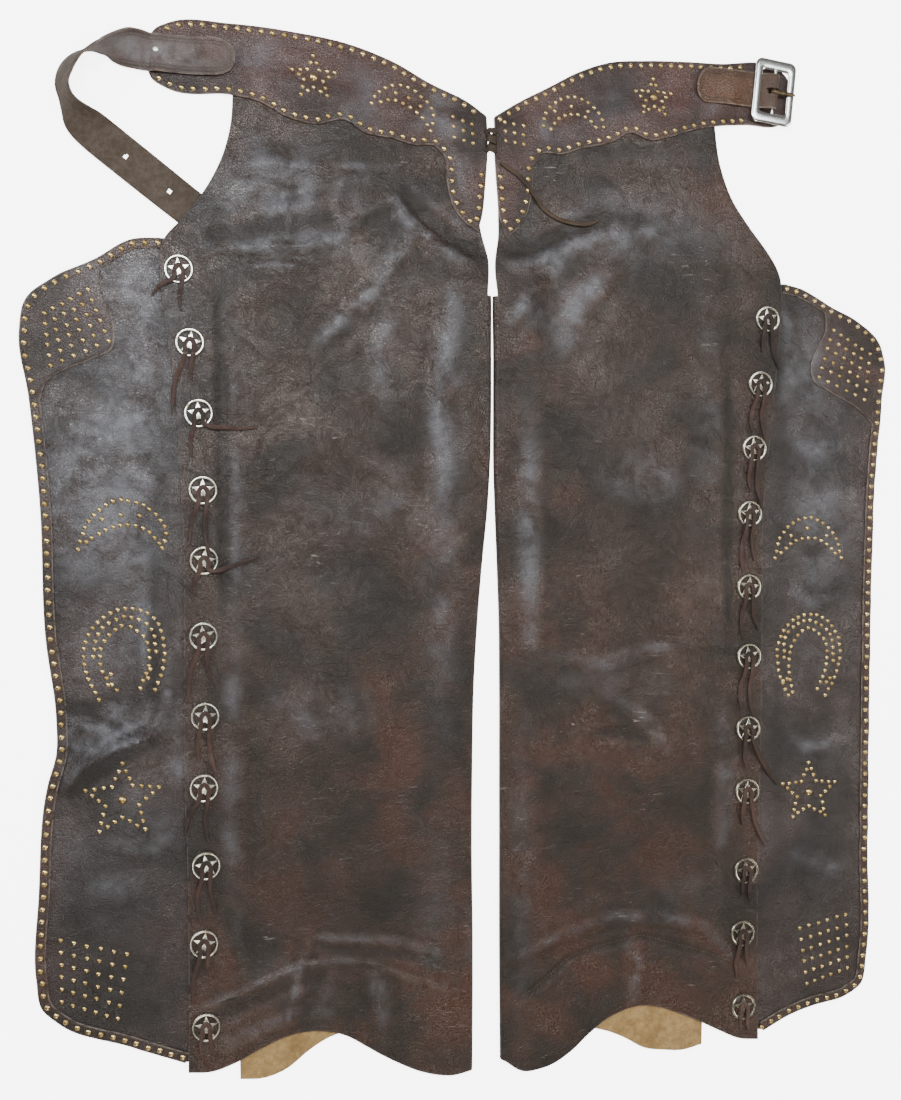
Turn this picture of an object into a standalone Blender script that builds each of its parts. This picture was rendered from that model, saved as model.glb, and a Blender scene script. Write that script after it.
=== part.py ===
"""Studded leather chaps laid flat: two legs folded over their backs, side wings, a two-piece
belt yoke laced at the middle, a billet strap, a centre-bar buckle and laced conchos.

Sizes are millimetres until a mesh is made. x runs across, y up the legs, z up from the table.
"Out" is the distance from the middle line: left pieces lie at minus x, right pieces at plus x.
"""
import math

import bmesh
import bpy
import numpy as np
from mathutils import Vector
from mathutils.geometry import delaunay_2d_cdt

MM = 0.001
SIDES = {"left": -1.0, "right": 1.0}

# Where the chaps' middle line and waist height stand, so that the origin is under the box's middle
PLACE = (4.0, -7.7)

# Leather and hardware thicknesses
LEATHER = 2.2
TRIM = 1.6
STRAP = 2.8
CONCHO = 1.8
THONG = 1.5
SEAT = 0.3

# Leg: a front panel that rolls over at the inside leg into a narrower back panel
FOLD = 4.2
FOLD_ARC = 12.0
ROLL_WIDTH = 60.0
LAY = LEATHER + SEAT
CROTCH = 258.0
BACK_TOP = 240.0
BACK_OUT = {"left": (241.0, 255.0), "right": (222.0, 240.0)}
BACK_STEP = 44.0
FRONT_STEP = 27.0

# Leg edges: height y, then how far out the side edge and the inside-leg edge lie
LEG_EDGES = {
    "columns": ("y", "left_side", "left_inner", "right_side", "right_inner"),
    "rows": [
        (-505, 289, 19, 284, 9),
        (-360, 289, 18.5, 283.5, 8),
        (-280, 290, 19.5, 285, 8),
        (-200, 293, 19, 287, 8),
        (-120, 293, 17.5, 288.5, 8),
        (-60, 293, 14, 289, 7.5),
        (0, 293, 9, 289, 5.5),
        (50, 295, 4, 290, 3.5),
        (100, 298, 1, 295, 2),
        (150, 301, 0, 300, 2),
        (200, 307, 0, 305.5, 2),
        (255, 314, 0, 310, 1.5),
        (276, 315, 0.5, 311, 2),
        (297, 311, 3, 307, 5),
        (318, 293, 9, 294, 8),
        (340, 277, 13, 277, 8),
        (370, 261, 14, 256, 8),
        (400, 252, 15, 244, 9),
        (450, 248, 15, 236, 9),
    ],
}

# Hems: share of the panel's width from its outer edge (front) or from the fold (back), then y
FRONT_HEM = {
    "columns": ("share", "left", "right"),
    "rows": [
        (0.0, -471, -491), (0.08, -472, -488), (0.16, -466, -478), (0.24, -456, -467),
        (0.32, -447, -457), (0.40, -443, -449), (0.48, -444, -446), (0.56, -451, -451),
        (0.62, -461, -458), (0.68, -471, -470), (0.74, -480, -484), (0.80, -488, -494),
        (0.87, -494, -499), (0.94, -496, -498), (1.0, -493, -487),
    ],
}
BACK_HEM = {
    "columns": ("share", "left", "right"),
    "rows": [
        (0.0, -492, -482), (0.12, -491, -487), (0.25, -477, -478), (0.38, -460, -464),
        (0.5, -447, -468), (0.6, -449, -477), (0.7, -460, -489), (0.8, -476, -493),
        (0.9, -483, -495), (1.0, -482, -491),
    ],
}

# Leg top, hidden under the yoke: share of the width from the side edge, then y
LEG_TOP = {
    "columns": ("share", "left", "right"),
    "rows": [(0.0, 452, 460), (0.35, 436, 444), (0.7, 424, 424), (1.0, 414, 414)],
}

# Soft folds of the front panels: a ridge from one place to another, its half width and height
FRONT_FOLDS = {
    "columns": ("out_a", "y_a", "out_b", "y_b", "half_width", "height"),
    "left": [
        (240, 318, 120, 334, 20, 2.6),
        (225, 250, 120, 330, 17, 1.8),
        (40, 240, 44, -170, 17, 1.6),
        (235, -400, 150, -366, 13, 1.5),
        (150, -366, 40, -398, 13, 1.5),
        (170, 120, 190, -40, 30, 1.2),
    ],
    "right": [
        (20, 250, 70, 190, 18, 1.6),
        (95, 300, 120, 150, 30, 1.6),
        (36, 150, 30, -120, 14, 1.4),
        (30, -385, 115, -345, 13, 1.5),
        (115, -345, 225, -366, 13, 1.5),
        (150, 30, 170, -120, 30, 1.2),
    ],
}

# Wings: outline through these places, from the hidden top edge round to the hidden bottom edge
WING_EDGE = {
    "columns": ("out", "y"),
    "left": [
        (264, 250), (286, 274), (309, 298), (340, 295), (373, 275), (410, 256), (432, 237),
        (438, 206), (430, 150), (420, 50), (415, -70), (406, -140), (406, -174), (413, -200),
        (421, -300), (423, -376), (418, -402), (404, -416), (340, -443), (292, -462), (253, -458),
    ],
    "right": [
        (248, 240), (286, 266), (311, 286), (334, 281), (366, 265), (400, 249), (422, 231),
        (430, 208), (427, 170), (419, 90), (415, 0), (412, -140), (410, -300), (408, -415),
        (402, -443), (384, -454), (345, -462), (316, -471), (290, -483), (240, -466),
    ],
}
WING_CORNERS = {"left": (0, 2, 19, 20), "right": (0, 2, 18, 19)}
WING_STEP = 25.0
BORDER = 9.5

# Stud patch at each wing's upper corner: the inner edge, from the top border to the side border
PATCH_EDGE = {
    "columns": ("out", "y"),
    "left": [
        (367, 268), (366, 246), (359, 228), (355, 210), (357, 195), (373, 185), (398, 174),
        (414, 163), (420, 146),
    ],
    "right": [(360, 257), (361, 240), (350, 218), (344, 198), (347, 187), (366, 176), (398, 159), (411, 148)],
}

# The left wing's large fold, then smaller swells, as ridges
WING_FOLDS = {
    "columns": ("out_a", "y_a", "out_b", "y_b", "half_width", "height"),
    "left": [
        (326, -60, 325, -150, 11, 4.0),
        (325, -165, 392, -196, 14, 8.0),
        (372, 60, 366, -20, 22, 2.0),
        (350, -260, 380, -330, 24, 2.0),
    ],
    "right": [
        (362, 120, 370, 30, 20, 2.0),
        (352, -30, 362, -120, 20, 1.6),
        (360, -250, 352, -330, 24, 2.2),
    ],
}

# Yokes: outline through these places, starting at the inner top corner and going out
YOKE_EDGE = {
    "columns": ("x", "y"),
    "left": [
        (-4, 434), (-22, 446), (-59, 461), (-99, 480), (-139, 492), (-185, 498), (-250, 501),
        (-306, 497), (-320, 489), (-326, 468), (-322, 444), (-308, 436), (-250, 434),
        (-225, 430), (-197, 417), (-171, 413), (-143, 419), (-126, 409), (-98, 405), (-74, 400),
        (-57, 401), (-47, 391), (-44, 366), (-36, 340), (-25, 328), (-13, 321), (-9, 336),
        (-6, 362), (-3.5, 400),
    ],
    "right": [
        (3.5, 434), (28, 450), (60, 468), (92, 486), (124, 498), (163, 503), (240, 507),
        (305, 508), (317, 500), (321, 480), (320, 458), (310, 450), (270, 447), (236, 442),
        (207, 435), (185, 427), (166, 423), (146, 429), (125, 418), (92, 409), (72, 402),
        (52, 401), (45, 392), (42, 362), (34, 336), (25, 324), (15, 316), (9, 334), (6, 362),
        (3.5, 400),
    ],
}
YOKE_CORNERS = {"left": (0, 25), "right": (0, 26)}
YOKE_STEP = 23.0

# Billet strap: centre line, side tilt in degrees (0 grain up, 180 flesh up) and width share
STRAP_WIDTH = 35.0
STRAP_ROUTE = {
    "columns": ("x", "y", "tilt", "width", "rest"),
    "rows": [
        (-247, 467.5, 0, 0.30, 2 * LAY), (-251, 467.5, 0, 0.68, 2 * LAY),
        (-258, 467.5, 0, 0.92, 2 * LAY), (-266, 467.5, 0, 1.0, 4.5), (-286, 467, 0, 1.0, LAY),
        (-304, 467, 0, 1.0, LAY), (-324, 467, 0, 1.0, LAY),
        (-337, 467, 24, 1.0, 0.4), (-350, 465.5, 54, 1.0, 0.0), (-363, 463.5, 84, 1.0, 0.0),
        (-376, 460.5, 104, 1.0, 0.0), (-387, 454.5, 113, 1.0, 0.0), (-395, 445, 117, 1.0, 0.0),
        (-399, 433, 115, 1.0, 0.0), (-398.5, 420, 106, 1.0, 0.0), (-394, 408, 112, 1.0, 0.0),
        (-385, 397.5, 134, 1.0, 0.0), (-372, 388, 154, 1.0, 0.0), (-356, 376.5, 164, 1.0, 0.0),
        (-339, 364, 168, 1.0, 0.0), (-315, 346.5, 175, 1.0, 0.0), (-293, 330.5, 180, 1.0, 0.0),
        (-268, 312, 180, 1.0, 0.0),
    ],
}
STRAP_ZONE_OUT = 218.0
STRAP_LIFT = 3.3
RIVET_AT = (-318.5, 469.0)
RIVET_RADIUS = 4.0

# Centre-bar buckle on the right yoke's end
BUCKLE_AT = (300.0, 481.0)
BUCKLE_TURN = math.radians(-6.0)
BUCKLE_SIZE = (45.0, 66.0)
BUCKLE_SIDE = 8.0
BUCKLE_END = 11.0
BUCKLE_ROUND = 7.0
WINDOW_ROUND = 3.0
BUCKLE_LIFT = 5.8
BUCKLE_THICK = 2.6
BAR_WIDTH = 3.0
BAR_Z = BUCKLE_LIFT + BUCKLE_THICK / 2
RING_INNER = math.hypot(BAR_WIDTH / 2, BUCKLE_THICK / 2) + SEAT
RING_WALL = 1.4
PRONG_WIDTH = 4.0
PRONG_LENGTH = 22.0
PRONG_THICK = 1.8

# Chape: the leather that carries the buckle, wrapped once round its bar
CHAPE_LENGTH = 84.0
CHAPE_WIDTH = 36.0
CHAPE_THICK = 2.2
CHAPE_STEP = (44.0, 27.0)
CHAPE_BEND_FROM = 20.0
CHAPE_RAMP = 14.5
CHAPE_TAIL = 7.5
CHAPE_SLOT = PRONG_WIDTH / 2 + 1.0

# Conchos: centres from the top of each leg down
CONCHO_RADIUS = 13.5
CONCHO_RIM = 2.4
CONCHO_SIDES = 20
CONCHO_AT = {
    "columns": ("out", "y"),
    "left": [
        (298, 269), (288, 202), (280, 137), (276, 66), (275, 1), (275.5, -69), (274, -143),
        (275, -209), (273, -281), (275, -353), (273, -430),
    ],
    "right": [
        (294, 248), (286, 181), (279, 115), (274, 48), (273, -27), (273, -98), (272, -172),
        (271, -236), (270, -317), (266, -381), (267, -456),
    ],
}

# Thongs: where each of a concho's two free ends lies, as x and y from the concho's centre
THONG_WIDTH = 4.6
THONG_TURN = 3.6
THONG_STEPS = 7
THONG_ENDS = {
    "columns": ("left_end_x", "left_end_y", "right_end_x", "right_end_y"),
    "left": [
        (-24, -24, 2, -38), (-16, -66, 2, -34), (-6, -40, 54, -12), (-12, -50, 6, -62),
        (-10, -30, 50, 4), (-14, -58, 8, -44), (-6, -40, 10, -54), (-18, -42, 4, -50),
        (-7, -48, 9, -44), (-10, -52, 6, -30), (-5, -22, 9, -26),
    ],
    "right": [
        (-6, -34, 13, -52), (-11, -50, 4, -58), (-5, -44, 8, -62), (-9, -60, 5, -48),
        (-8, -52, 10, -44), (-10, -54, 3, -60), (-2, -40, 34, -58), (-5, -34, 20, -56),
        (-5, -24, 4, -32), (-7, -44, 6, -34), (-4, -20, 5, -24),
    ],
}

# Centre lace: a knot over the two yokes and one free end
KNOT_SIZE = (12.0, 32.0, 4.5)
KNOT_AT = (0.0, 409.0)
LACE_ROUTE = {
    "columns": ("x", "y"),
    "rows": [
        (9.0, 388), (16, 384), (25, 379), (34, 371), (42, 361), (51, 350), (62, 341), (76, 336),
        (90, 334), (102, 335), (111, 339),
    ],
}
LACE_WIDTH = 4.6

MATERIALS = {
    "columns": ("red", "green", "blue", "roughness", "metallic"),
    "leg leather": (0.060, 0.046, 0.048, 0.42, 0.0),
    "wing leather": (0.066, 0.054, 0.060, 0.40, 0.0),
    "yoke leather": (0.085, 0.042, 0.040, 0.42, 0.0),
    "strap leather": (0.090, 0.055, 0.040, 0.55, 0.0),
    "thong leather": (0.060, 0.032, 0.026, 0.65, 0.0),
    "nickel": (0.62, 0.60, 0.55, 0.28, 1.0),
}


def clear_scene():
    """Remove whatever objects the file holds."""
    for item in list(bpy.data.objects):
        bpy.data.objects.remove(item, do_unlink=True)


def finish(name):
    """The named material, made once."""
    found = bpy.data.materials.get(name)
    if found:
        return found
    red, green, blue, roughness, metallic = MATERIALS[name]
    made = bpy.data.materials.new(name)
    made.use_nodes = True
    shader = made.node_tree.nodes["Principled BSDF"]
    shader.inputs["Base Color"].default_value = (red, green, blue, 1.0)
    shader.inputs["Roughness"].default_value = roughness
    shader.inputs["Metallic"].default_value = metallic
    return made


def add_solid(name, points, faces, material, parent=None):
    """Make one closed body from points in millimetres, with its faces turned outwards."""
    mesh = bpy.data.meshes.new(name)
    mesh.from_pydata((np.asarray(points) * MM).tolist(), [], [list(map(int, face)) for face in faces])
    shape = bmesh.new()
    shape.from_mesh(mesh)
    bmesh.ops.triangulate(shape, faces=shape.faces)
    bmesh.ops.recalc_face_normals(shape, faces=shape.faces)
    shape.to_mesh(mesh)
    shape.free()
    mesh.shade_smooth()
    mesh.set_sharp_from_angle(angle=math.radians(40.0))
    item = bpy.data.objects.new(name, mesh)
    bpy.context.collection.objects.link(item)
    mesh.materials.append(finish(material))
    item.parent = parent
    return item


def column(table, name, rows="rows"):
    """One named column of a table, as an array."""
    return np.array([row[table["columns"].index(name)] for row in table[rows]], dtype=float)


def read_curve(stations, values, at):
    """Read a smooth curve through a table's rows: cubic pieces that share their slopes."""
    slopes = np.gradient(values, stations)
    at = np.clip(np.asarray(at, dtype=float), stations[0], stations[-1])
    left = np.clip(np.searchsorted(stations, at) - 1, 0, len(stations) - 2)
    span = stations[left + 1] - stations[left]
    t = (at - stations[left]) / span
    start = (2 * t**3 - 3 * t**2 + 1) * values[left] + (t**3 - 2 * t**2 + t) * span * slopes[left]
    end = (3 * t**2 - 2 * t**3) * values[left + 1] + (t**3 - t**2) * span * slopes[left + 1]
    return start + end


def ease(low, high, value):
    """Rise smoothly from 0 at low to 1 at high."""
    t = np.clip((np.asarray(value, dtype=float) - low) / (high - low), 0.0, 1.0)
    return t * t * (3.0 - 2.0 * t)


def ridges(rows, out, y):
    """Height of soft ridges: each falls away from its line as a bell curve."""
    height = np.zeros(np.shape(out))
    for out_a, y_a, out_b, y_b, half_width, top in rows:
        run = np.array([out_b - out_a, y_b - y_a], dtype=float)
        share = ((out - out_a) * run[0] + (y - y_a) * run[1]) / (run @ run)
        share = np.clip(share, 0.0, 1.0)
        away = np.hypot(out - out_a - share * run[0], y - y_a - share * run[1])
        height = np.maximum(height, top * np.exp(-((away / half_width) ** 2)))
    return height


def inside(loop, points):
    """Which points lie in a closed loop, by counting the edges crossed to one side."""
    loop = np.asarray(loop, dtype=float)
    after = np.roll(loop, -1, axis=0)
    x, y = points[:, :1], points[:, 1:2]
    spans = (loop[:, 1] > y) != (after[:, 1] > y)
    rise = np.where(after[:, 1] == loop[:, 1], 1.0, after[:, 1] - loop[:, 1])
    cross = loop[:, 0] + (y - loop[:, 1]) / rise * (after[:, 0] - loop[:, 0])
    return (np.sum(spans & (x < cross), axis=1) % 2) == 1


def edge_distance(loop, points):
    """Distance of each point from a closed loop's edges."""
    loop = np.asarray(loop, dtype=float)
    run = np.roll(loop, -1, axis=0) - loop
    offset = points[:, None, :] - loop[None, :, :]
    share = np.clip(np.sum(offset * run, axis=2) / np.maximum(np.sum(run * run, axis=1), 1e-9), 0.0, 1.0)
    return np.min(np.linalg.norm(offset - share[..., None] * run, axis=2), axis=1)


def rounded_loop(points, corners, step):
    """Closed outline through its points: smooth between the sharp corners, in even steps."""
    points = np.asarray(points, dtype=float)
    count = len(points)
    line = []
    corners = sorted(corners) or [0]
    for place, first in enumerate(corners):
        last = corners[(place + 1) % len(corners)]
        last = last if last > first else last + count
        stretch = points[np.arange(first, last + 1) % count]
        if len(stretch) < 3:
            line.append(stretch[:1])
            continue
        along = np.concatenate([[0.0], np.cumsum(np.linalg.norm(np.diff(stretch, axis=0), axis=1))])
        pieces = max(2, round(along[-1] / step))
        at = np.linspace(0.0, along[-1], pieces + 1)[:-1]
        line.append(np.stack([read_curve(along, stretch[:, k], at) for k in (0, 1)], axis=1))
    return np.concatenate(line)


def even_fill(loop, step, margin):
    """Grid of points inside an outline, kept a margin away from its edge."""
    loop = np.asarray(loop)
    low, high = loop.min(axis=0), loop.max(axis=0)
    across = np.arange(low[0] + step / 2, high[0], step)
    up = np.arange(low[1] + step / 2, high[1], step)
    grid = np.stack(np.meshgrid(across, up), axis=-1).reshape(-1, 2)
    grid = grid[inside(loop, grid)]
    return grid[edge_distance(loop, grid) > margin]


def cut_flat(outline, holes=(), marks=(), fill=()):
    """Cut a flat piece: triangles inside the outline, outside the holes, along every marked line."""
    points = []
    edges = []
    for loop in [outline, *holes]:
        first = len(points)
        points.extend(map(tuple, loop))
        edges.extend((first + k, first + (k + 1) % len(loop)) for k in range(len(loop)))
    for line in marks:
        first = len(points)
        points.extend(map(tuple, line))
        edges.extend((first + k, first + k + 1) for k in range(len(line) - 1))
    points.extend(map(tuple, fill))
    found = delaunay_2d_cdt([Vector(point) for point in points], edges, [], 1, 1e-4)
    flat = np.array([tuple(point) for point in found[0]])
    faces = np.array([list(face) for face in found[2]], dtype=int)
    middles = flat[faces].mean(axis=1)
    keep = inside(outline, middles)
    for hole in holes:
        keep &= ~inside(hole, middles)
    return flat, faces[keep]


def wall_faces(faces, count):
    """Close two sheets that share their triangles with a rim along every open edge."""
    directed = {(a, b) for face in faces for a, b in zip(face, np.roll(face, -1))}
    rim = [(a + count, b + count, b, a) for a, b in directed if (b, a) not in directed]
    return [list(face) for face in faces] + [[i + count for i in face[::-1]] for face in faces] + rim


def add_wall(name, flat, faces, laid, material, parent=None):
    """Lay a flat cut as a wall: laid gives each cut point's grain side and flesh side."""
    used, index = np.unique(faces, return_inverse=True)
    faces = index.reshape(faces.shape)
    grain, flesh = laid(flat[used])
    points = np.concatenate([grain, flesh])
    return add_solid(name, points, wall_faces(faces, len(used)), material, parent)


def leg_edges(side, y):
    """How far out a leg's side edge and inside-leg edge lie at a height."""
    stations = column(LEG_EDGES, "y")
    outer = read_curve(stations, column(LEG_EDGES, side + "_side"), y)
    inner = read_curve(stations, column(LEG_EDGES, side + "_inner"), y)
    return outer, inner


def fold_reach(y):
    """How much room the rolled inside-leg fold takes, which ends at the crotch."""
    return FOLD * (1.0 - ease(CROTCH, CROTCH + 40.0, y))


def front_under(side, out, y):
    """Height of a front panel's underside: on its back and wing below, on the table above."""
    inner = leg_edges(side, y)[1] + fold_reach(y)
    start = CROTCH + 6.0 + 42.0 * ease(70.0, 200.0, out)
    lay = LAY * (1.0 - ease(start, start + 46.0, y))
    roll = np.cos(np.clip((out - inner) / ROLL_WIDTH, 0.0, 1.0) * math.pi / 2) ** 2
    height = lay + (2 * FOLD - LEATHER - LAY) * roll * (1.0 - ease(CROTCH - 10.0, CROTCH + 50.0, y))
    flat_side = 1.0 - ease(225.0, 255.0, out)
    flat_top = 1.0 - ease(345.0, 372.0, y)
    height = height + ridges(FRONT_FOLDS[side], out, y) * flat_side * flat_top
    if side == "left":
        strap = ease(STRAP_ZONE_OUT - 30.0, STRAP_ZONE_OUT, out) * ease(222.0, 250.0, y)
        strap = strap * (1.0 - ease(366.0, 398.0, y))
        height = height + (STRAP_LIFT - np.minimum(lay, STRAP_LIFT)) * strap
    return height


def leg_pattern(side):
    """Outline of one leg's flat cut: across is 0 at the inside-leg line, positive over the front."""
    front_y = np.concatenate([np.arange(-460.0, 240.0, FRONT_STEP + 6.0), np.arange(240.0, 440.0, 15.0)])
    outer, inner = leg_edges(side, front_y)
    side_line = np.stack([outer - inner - fold_reach(front_y), front_y], axis=1)
    shares = column(FRONT_HEM, "share")
    width = side_line[0, 0]
    front_hem = np.stack([(1.0 - shares) * width, column(FRONT_HEM, side)], axis=1)
    top_width = side_line[-1, 0]
    top = np.stack([(1.0 - column(LEG_TOP, "share")) * top_width, column(LEG_TOP, side)], axis=1)
    side_line = side_line[(side_line[:, 1] > front_hem[0, 1] + 8.0) & (side_line[:, 1] < top[0, 1] - 8.0)]
    back_low, back_high = BACK_OUT[side]
    hem_inner = leg_edges(side, -480.0)[1] + FOLD
    back_width = back_low - hem_inner
    back_hem = np.stack([-FOLD_ARC - column(BACK_HEM, "share") * back_width, column(BACK_HEM, side)], axis=1)
    free_y = np.arange(-440.0, BACK_TOP - 20.0, BACK_STEP)
    free_share = (free_y + 500.0) / (500.0 + BACK_TOP)
    free_out = back_low + (back_high - back_low) * free_share
    free = np.stack([-FOLD_ARC - (free_out - leg_edges(side, free_y)[1] - FOLD), free_y], axis=1)
    top_back = -FOLD_ARC - (back_high - leg_edges(side, BACK_TOP)[1] - FOLD)
    inner_top = np.arange(CROTCH + 15.0, 402.0, 18.0)
    inner_line = np.stack([np.zeros(len(inner_top)), inner_top], axis=1)
    loop = [side_line, top, inner_line[::-1], [(0.0, CROTCH), (-FOLD_ARC, CROTCH)]]
    loop += [[(-FOLD_ARC + (top_back + FOLD_ARC) / 2, (CROTCH + BACK_TOP) / 2), (top_back, BACK_TOP)]]
    loop += [free[::-1], back_hem[::-1], front_hem[::-1]]
    return np.concatenate([np.asarray(stretch) for stretch in loop])


def leg_fill(loop):
    """Inner points of a leg's cut: an even grid on the front, closer at the fold, wide on the back."""
    levels = np.arange(-466.0, 430.0, FRONT_STEP)
    front = np.arange(FRONT_STEP * 0.9, 310.0, FRONT_STEP)
    back = -FOLD_ARC - np.arange(BACK_STEP, 260.0, BACK_STEP)
    fold = np.linspace(-FOLD_ARC, 0.0, 5)
    grid = np.array([(across, y) for across in np.concatenate([back, front]) for y in levels])
    near = np.array([(across, y) for across in fold for y in levels if -470.0 < y < CROTCH - 9.0])
    grid = grid[inside(loop, grid)]
    grid = grid[edge_distance(loop, grid) > FRONT_STEP * 0.42]
    return np.concatenate([grid, near])


def laid_leg(side):
    """How a leg's cut lies: the front over the back, joined by a half-round fold."""
    sign = SIDES[side]

    def laid(flat):
        across, y = flat[:, 0], flat[:, 1]
        inner = leg_edges(side, y)[1]
        reach = fold_reach(y)
        front = across >= 0.0
        back = across <= -FOLD_ARC
        out = np.where(front, inner + reach + across, inner + FOLD - across - FOLD_ARC)
        under = front_under(side, out, y)
        turn = np.clip(-across / FOLD_ARC, 0.0, 1.0) * math.pi
        wrap = ~(front | back)
        sheets = []
        for radius, front_z, back_z in ((FOLD, under + LEATHER, 0.0), (FOLD - LEATHER, under, LEATHER)):
            place = np.where(wrap, inner + FOLD - radius * np.sin(turn), out)
            z = np.where(front, front_z, np.where(back, back_z, FOLD + radius * np.cos(turn)))
            sheets.append(np.stack([sign * place, y, z], axis=1))
        return sheets

    return laid


def build_leg(side):
    """One leg: front panel, inside-leg fold and back panel from a single cut."""
    loop = leg_pattern(side)
    flat, faces = cut_flat(loop, fill=leg_fill(loop))
    add_wall("leg_" + side, flat, faces, laid_leg(side), "leg leather")


def wing_under(side, out, y):
    """Height of a wing's underside: flat under the leg's edge, folded and swelling outside it."""
    free = ease(296.0, 322.0, out)
    return ridges(WING_FOLDS[side], out, y) * free


def border_line(loop, side):
    """Inner edge of a wing's stitched border, with the stud patch at the upper corner."""
    run = np.roll(loop, -1, axis=0) - np.roll(loop, 1, axis=0)
    normal = np.stack([run[:, 1], -run[:, 0]], axis=1) / np.linalg.norm(run, axis=1)[:, None]
    line = loop + normal * BORDER
    line = line[inside(loop, line)]
    patch = np.array(PATCH_EDGE[side], dtype=float)
    first = int(np.argmin(np.linalg.norm(line - patch[0], axis=1)))
    last = int(np.argmin(np.linalg.norm(line - patch[-1], axis=1)))
    return np.concatenate([line[:first], patch, line[last + 1:]])


def build_wing(side):
    """One wing and the border strip and stud patch that lie on it, made from its points."""
    sign = SIDES[side]
    loop = rounded_loop(WING_EDGE[side], WING_CORNERS[side], 24.0)
    line = border_line(loop, side)
    lap = leg_edges(side, line[:, 1])[0] + 2.0
    line = line[line[:, 0] > lap + 3.0]
    rim = loop[loop[:, 0] > leg_edges(side, loop[:, 1])[0] + 2.0]
    band = np.concatenate([rim, line[::-1]])
    fill = even_fill(loop, WING_STEP, WING_STEP * 0.42)
    fill = fill[edge_distance(band, fill) > WING_STEP * 0.3]
    closed = np.concatenate([band, band[:1]])
    flat, faces = cut_flat(loop, marks=[closed], fill=fill)

    def laid(rise, thick):
        def place(flat_points):
            out, y = flat_points[:, 0], flat_points[:, 1]
            low = wing_under(side, out, y) + rise
            return [np.stack([sign * out, y, low + top], axis=1) for top in (thick, 0.0)]
        return place

    add_wall("wing_" + side, flat, faces, laid(0.0, LEATHER), "wing leather")
    on_band = faces[inside(band, flat[faces].mean(axis=1))]
    add_wall("wing_trim_" + side, flat, on_band, laid(LAY, TRIM), "wing leather")


def leg_top(side, out):
    """Height y of a leg's hidden top edge at a distance out."""
    outer, inner = leg_edges(side, 440.0)
    share = np.clip((outer - out) / (outer - inner), 0.0, 1.0)
    return np.interp(share, column(LEG_TOP, "share"), column(LEG_TOP, side))


def yoke_under(side, out, y):
    """Height of a yoke's underside: on the leg where it covers it, on the table beyond."""
    above = 1.0 - ease(5.0, 26.0, y - leg_top(side, out))
    beside = 1.0 - ease(5.0, 30.0, out - leg_edges(side, 440.0)[0])
    return LAY * above * beside


def build_yoke(side):
    """One half of the belt, with its pointed drop at the middle."""
    loop = rounded_loop(YOKE_EDGE[side], YOKE_CORNERS[side], 14.0)
    sign = SIDES[side]
    outer, inner = leg_edges(side, 440.0)
    outs = outer - (outer - inner) * np.array([-0.02, 0.0, 0.12, 0.24, 0.35, 0.47, 0.59, 0.7, 0.82, 0.94])
    seam = np.stack([sign * outs, leg_top(side, outs) + 5.0], axis=1)
    seam = seam[inside(loop, seam)]
    fill = even_fill(loop, YOKE_STEP, YOKE_STEP * 0.36)
    fill = fill[np.abs(fill[:, 1] - leg_top(side, np.abs(fill[:, 0])) - 5.0) > 7.0]
    flat, faces = cut_flat(loop, marks=[seam], fill=fill)

    def laid(flat_points):
        low = yoke_under(side, np.abs(flat_points[:, 0]), flat_points[:, 1])
        return [np.column_stack([flat_points, low + top]) for top in (LEATHER, 0.0)]

    add_wall("yoke_" + side, flat, faces, laid, "yoke leather")


def loft(name, sections, material, parent=None):
    """Closed body through rings of four points, capped at both ends."""
    count = len(sections)
    points = np.concatenate(sections)
    faces = [[0, 1, 2, 3], [4 * count - 1 - k for k in range(4)]]
    for ring in range(count - 1):
        for k in range(4):
            after = (k + 1) % 4
            faces.append([4 * ring + k, 4 * ring + after, 4 * ring + 4 + after, 4 * ring + 4 + k])
    return add_solid(name, points, faces, material, parent)


def ribbon(name, centres, lean, widths, thick, material):
    """A flat strip along a route: lean is the direction across it at each place."""
    centres = np.asarray(centres, dtype=float)
    ahead = np.gradient(centres, axis=0)
    ahead /= np.linalg.norm(ahead, axis=1)[:, None]
    across = lean - np.sum(lean * ahead, axis=1)[:, None] * ahead
    across /= np.linalg.norm(across, axis=1)[:, None]
    up = np.cross(ahead, across)
    sections = []
    for centre, side, top, width in zip(centres, across, up, widths):
        corners = ((1, 1), (-1, 1), (-1, -1), (1, -1))
        sections.append([centre + side * a * width / 2 + top * b * thick / 2 for a, b in corners])
    return loft(name, sections, material)


def smooth_route(points, count):
    """Even places along a smooth line through a route's points."""
    points = np.asarray(points, dtype=float)
    along = np.concatenate([[0.0], np.cumsum(np.linalg.norm(np.diff(points[:, :2], axis=0), axis=1))])
    at = np.linspace(0.0, along[-1], count)
    return np.stack([read_curve(along, points[:, k], at) for k in range(points.shape[1])], axis=1)


def build_strap():
    """The billet strap: fixed on the left yoke, turned over in a bend and tucked under the leg."""
    x, y, tilt, width, rest = (column(STRAP_ROUTE, name) for name in STRAP_ROUTE["columns"])
    tilt = np.radians(tilt)
    ahead = np.gradient(np.stack([x, y], axis=1), axis=0)
    ahead /= np.linalg.norm(ahead, axis=1)[:, None]
    level = np.stack([-ahead[:, 1], ahead[:, 0], np.zeros(len(x))], axis=1)
    lean = level * np.cos(tilt)[:, None]
    lean[:, 2] = -np.sin(tilt)
    half = STRAP_WIDTH * width / 2 * np.abs(np.sin(tilt)) + STRAP / 2 * np.abs(np.cos(tilt))
    centres = np.stack([x, y, rest + half + 0.1 * np.abs(np.sin(2 * tilt))], axis=1)
    ribbon("strap", centres, lean, STRAP_WIDTH * width, STRAP, "strap leather")


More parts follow.
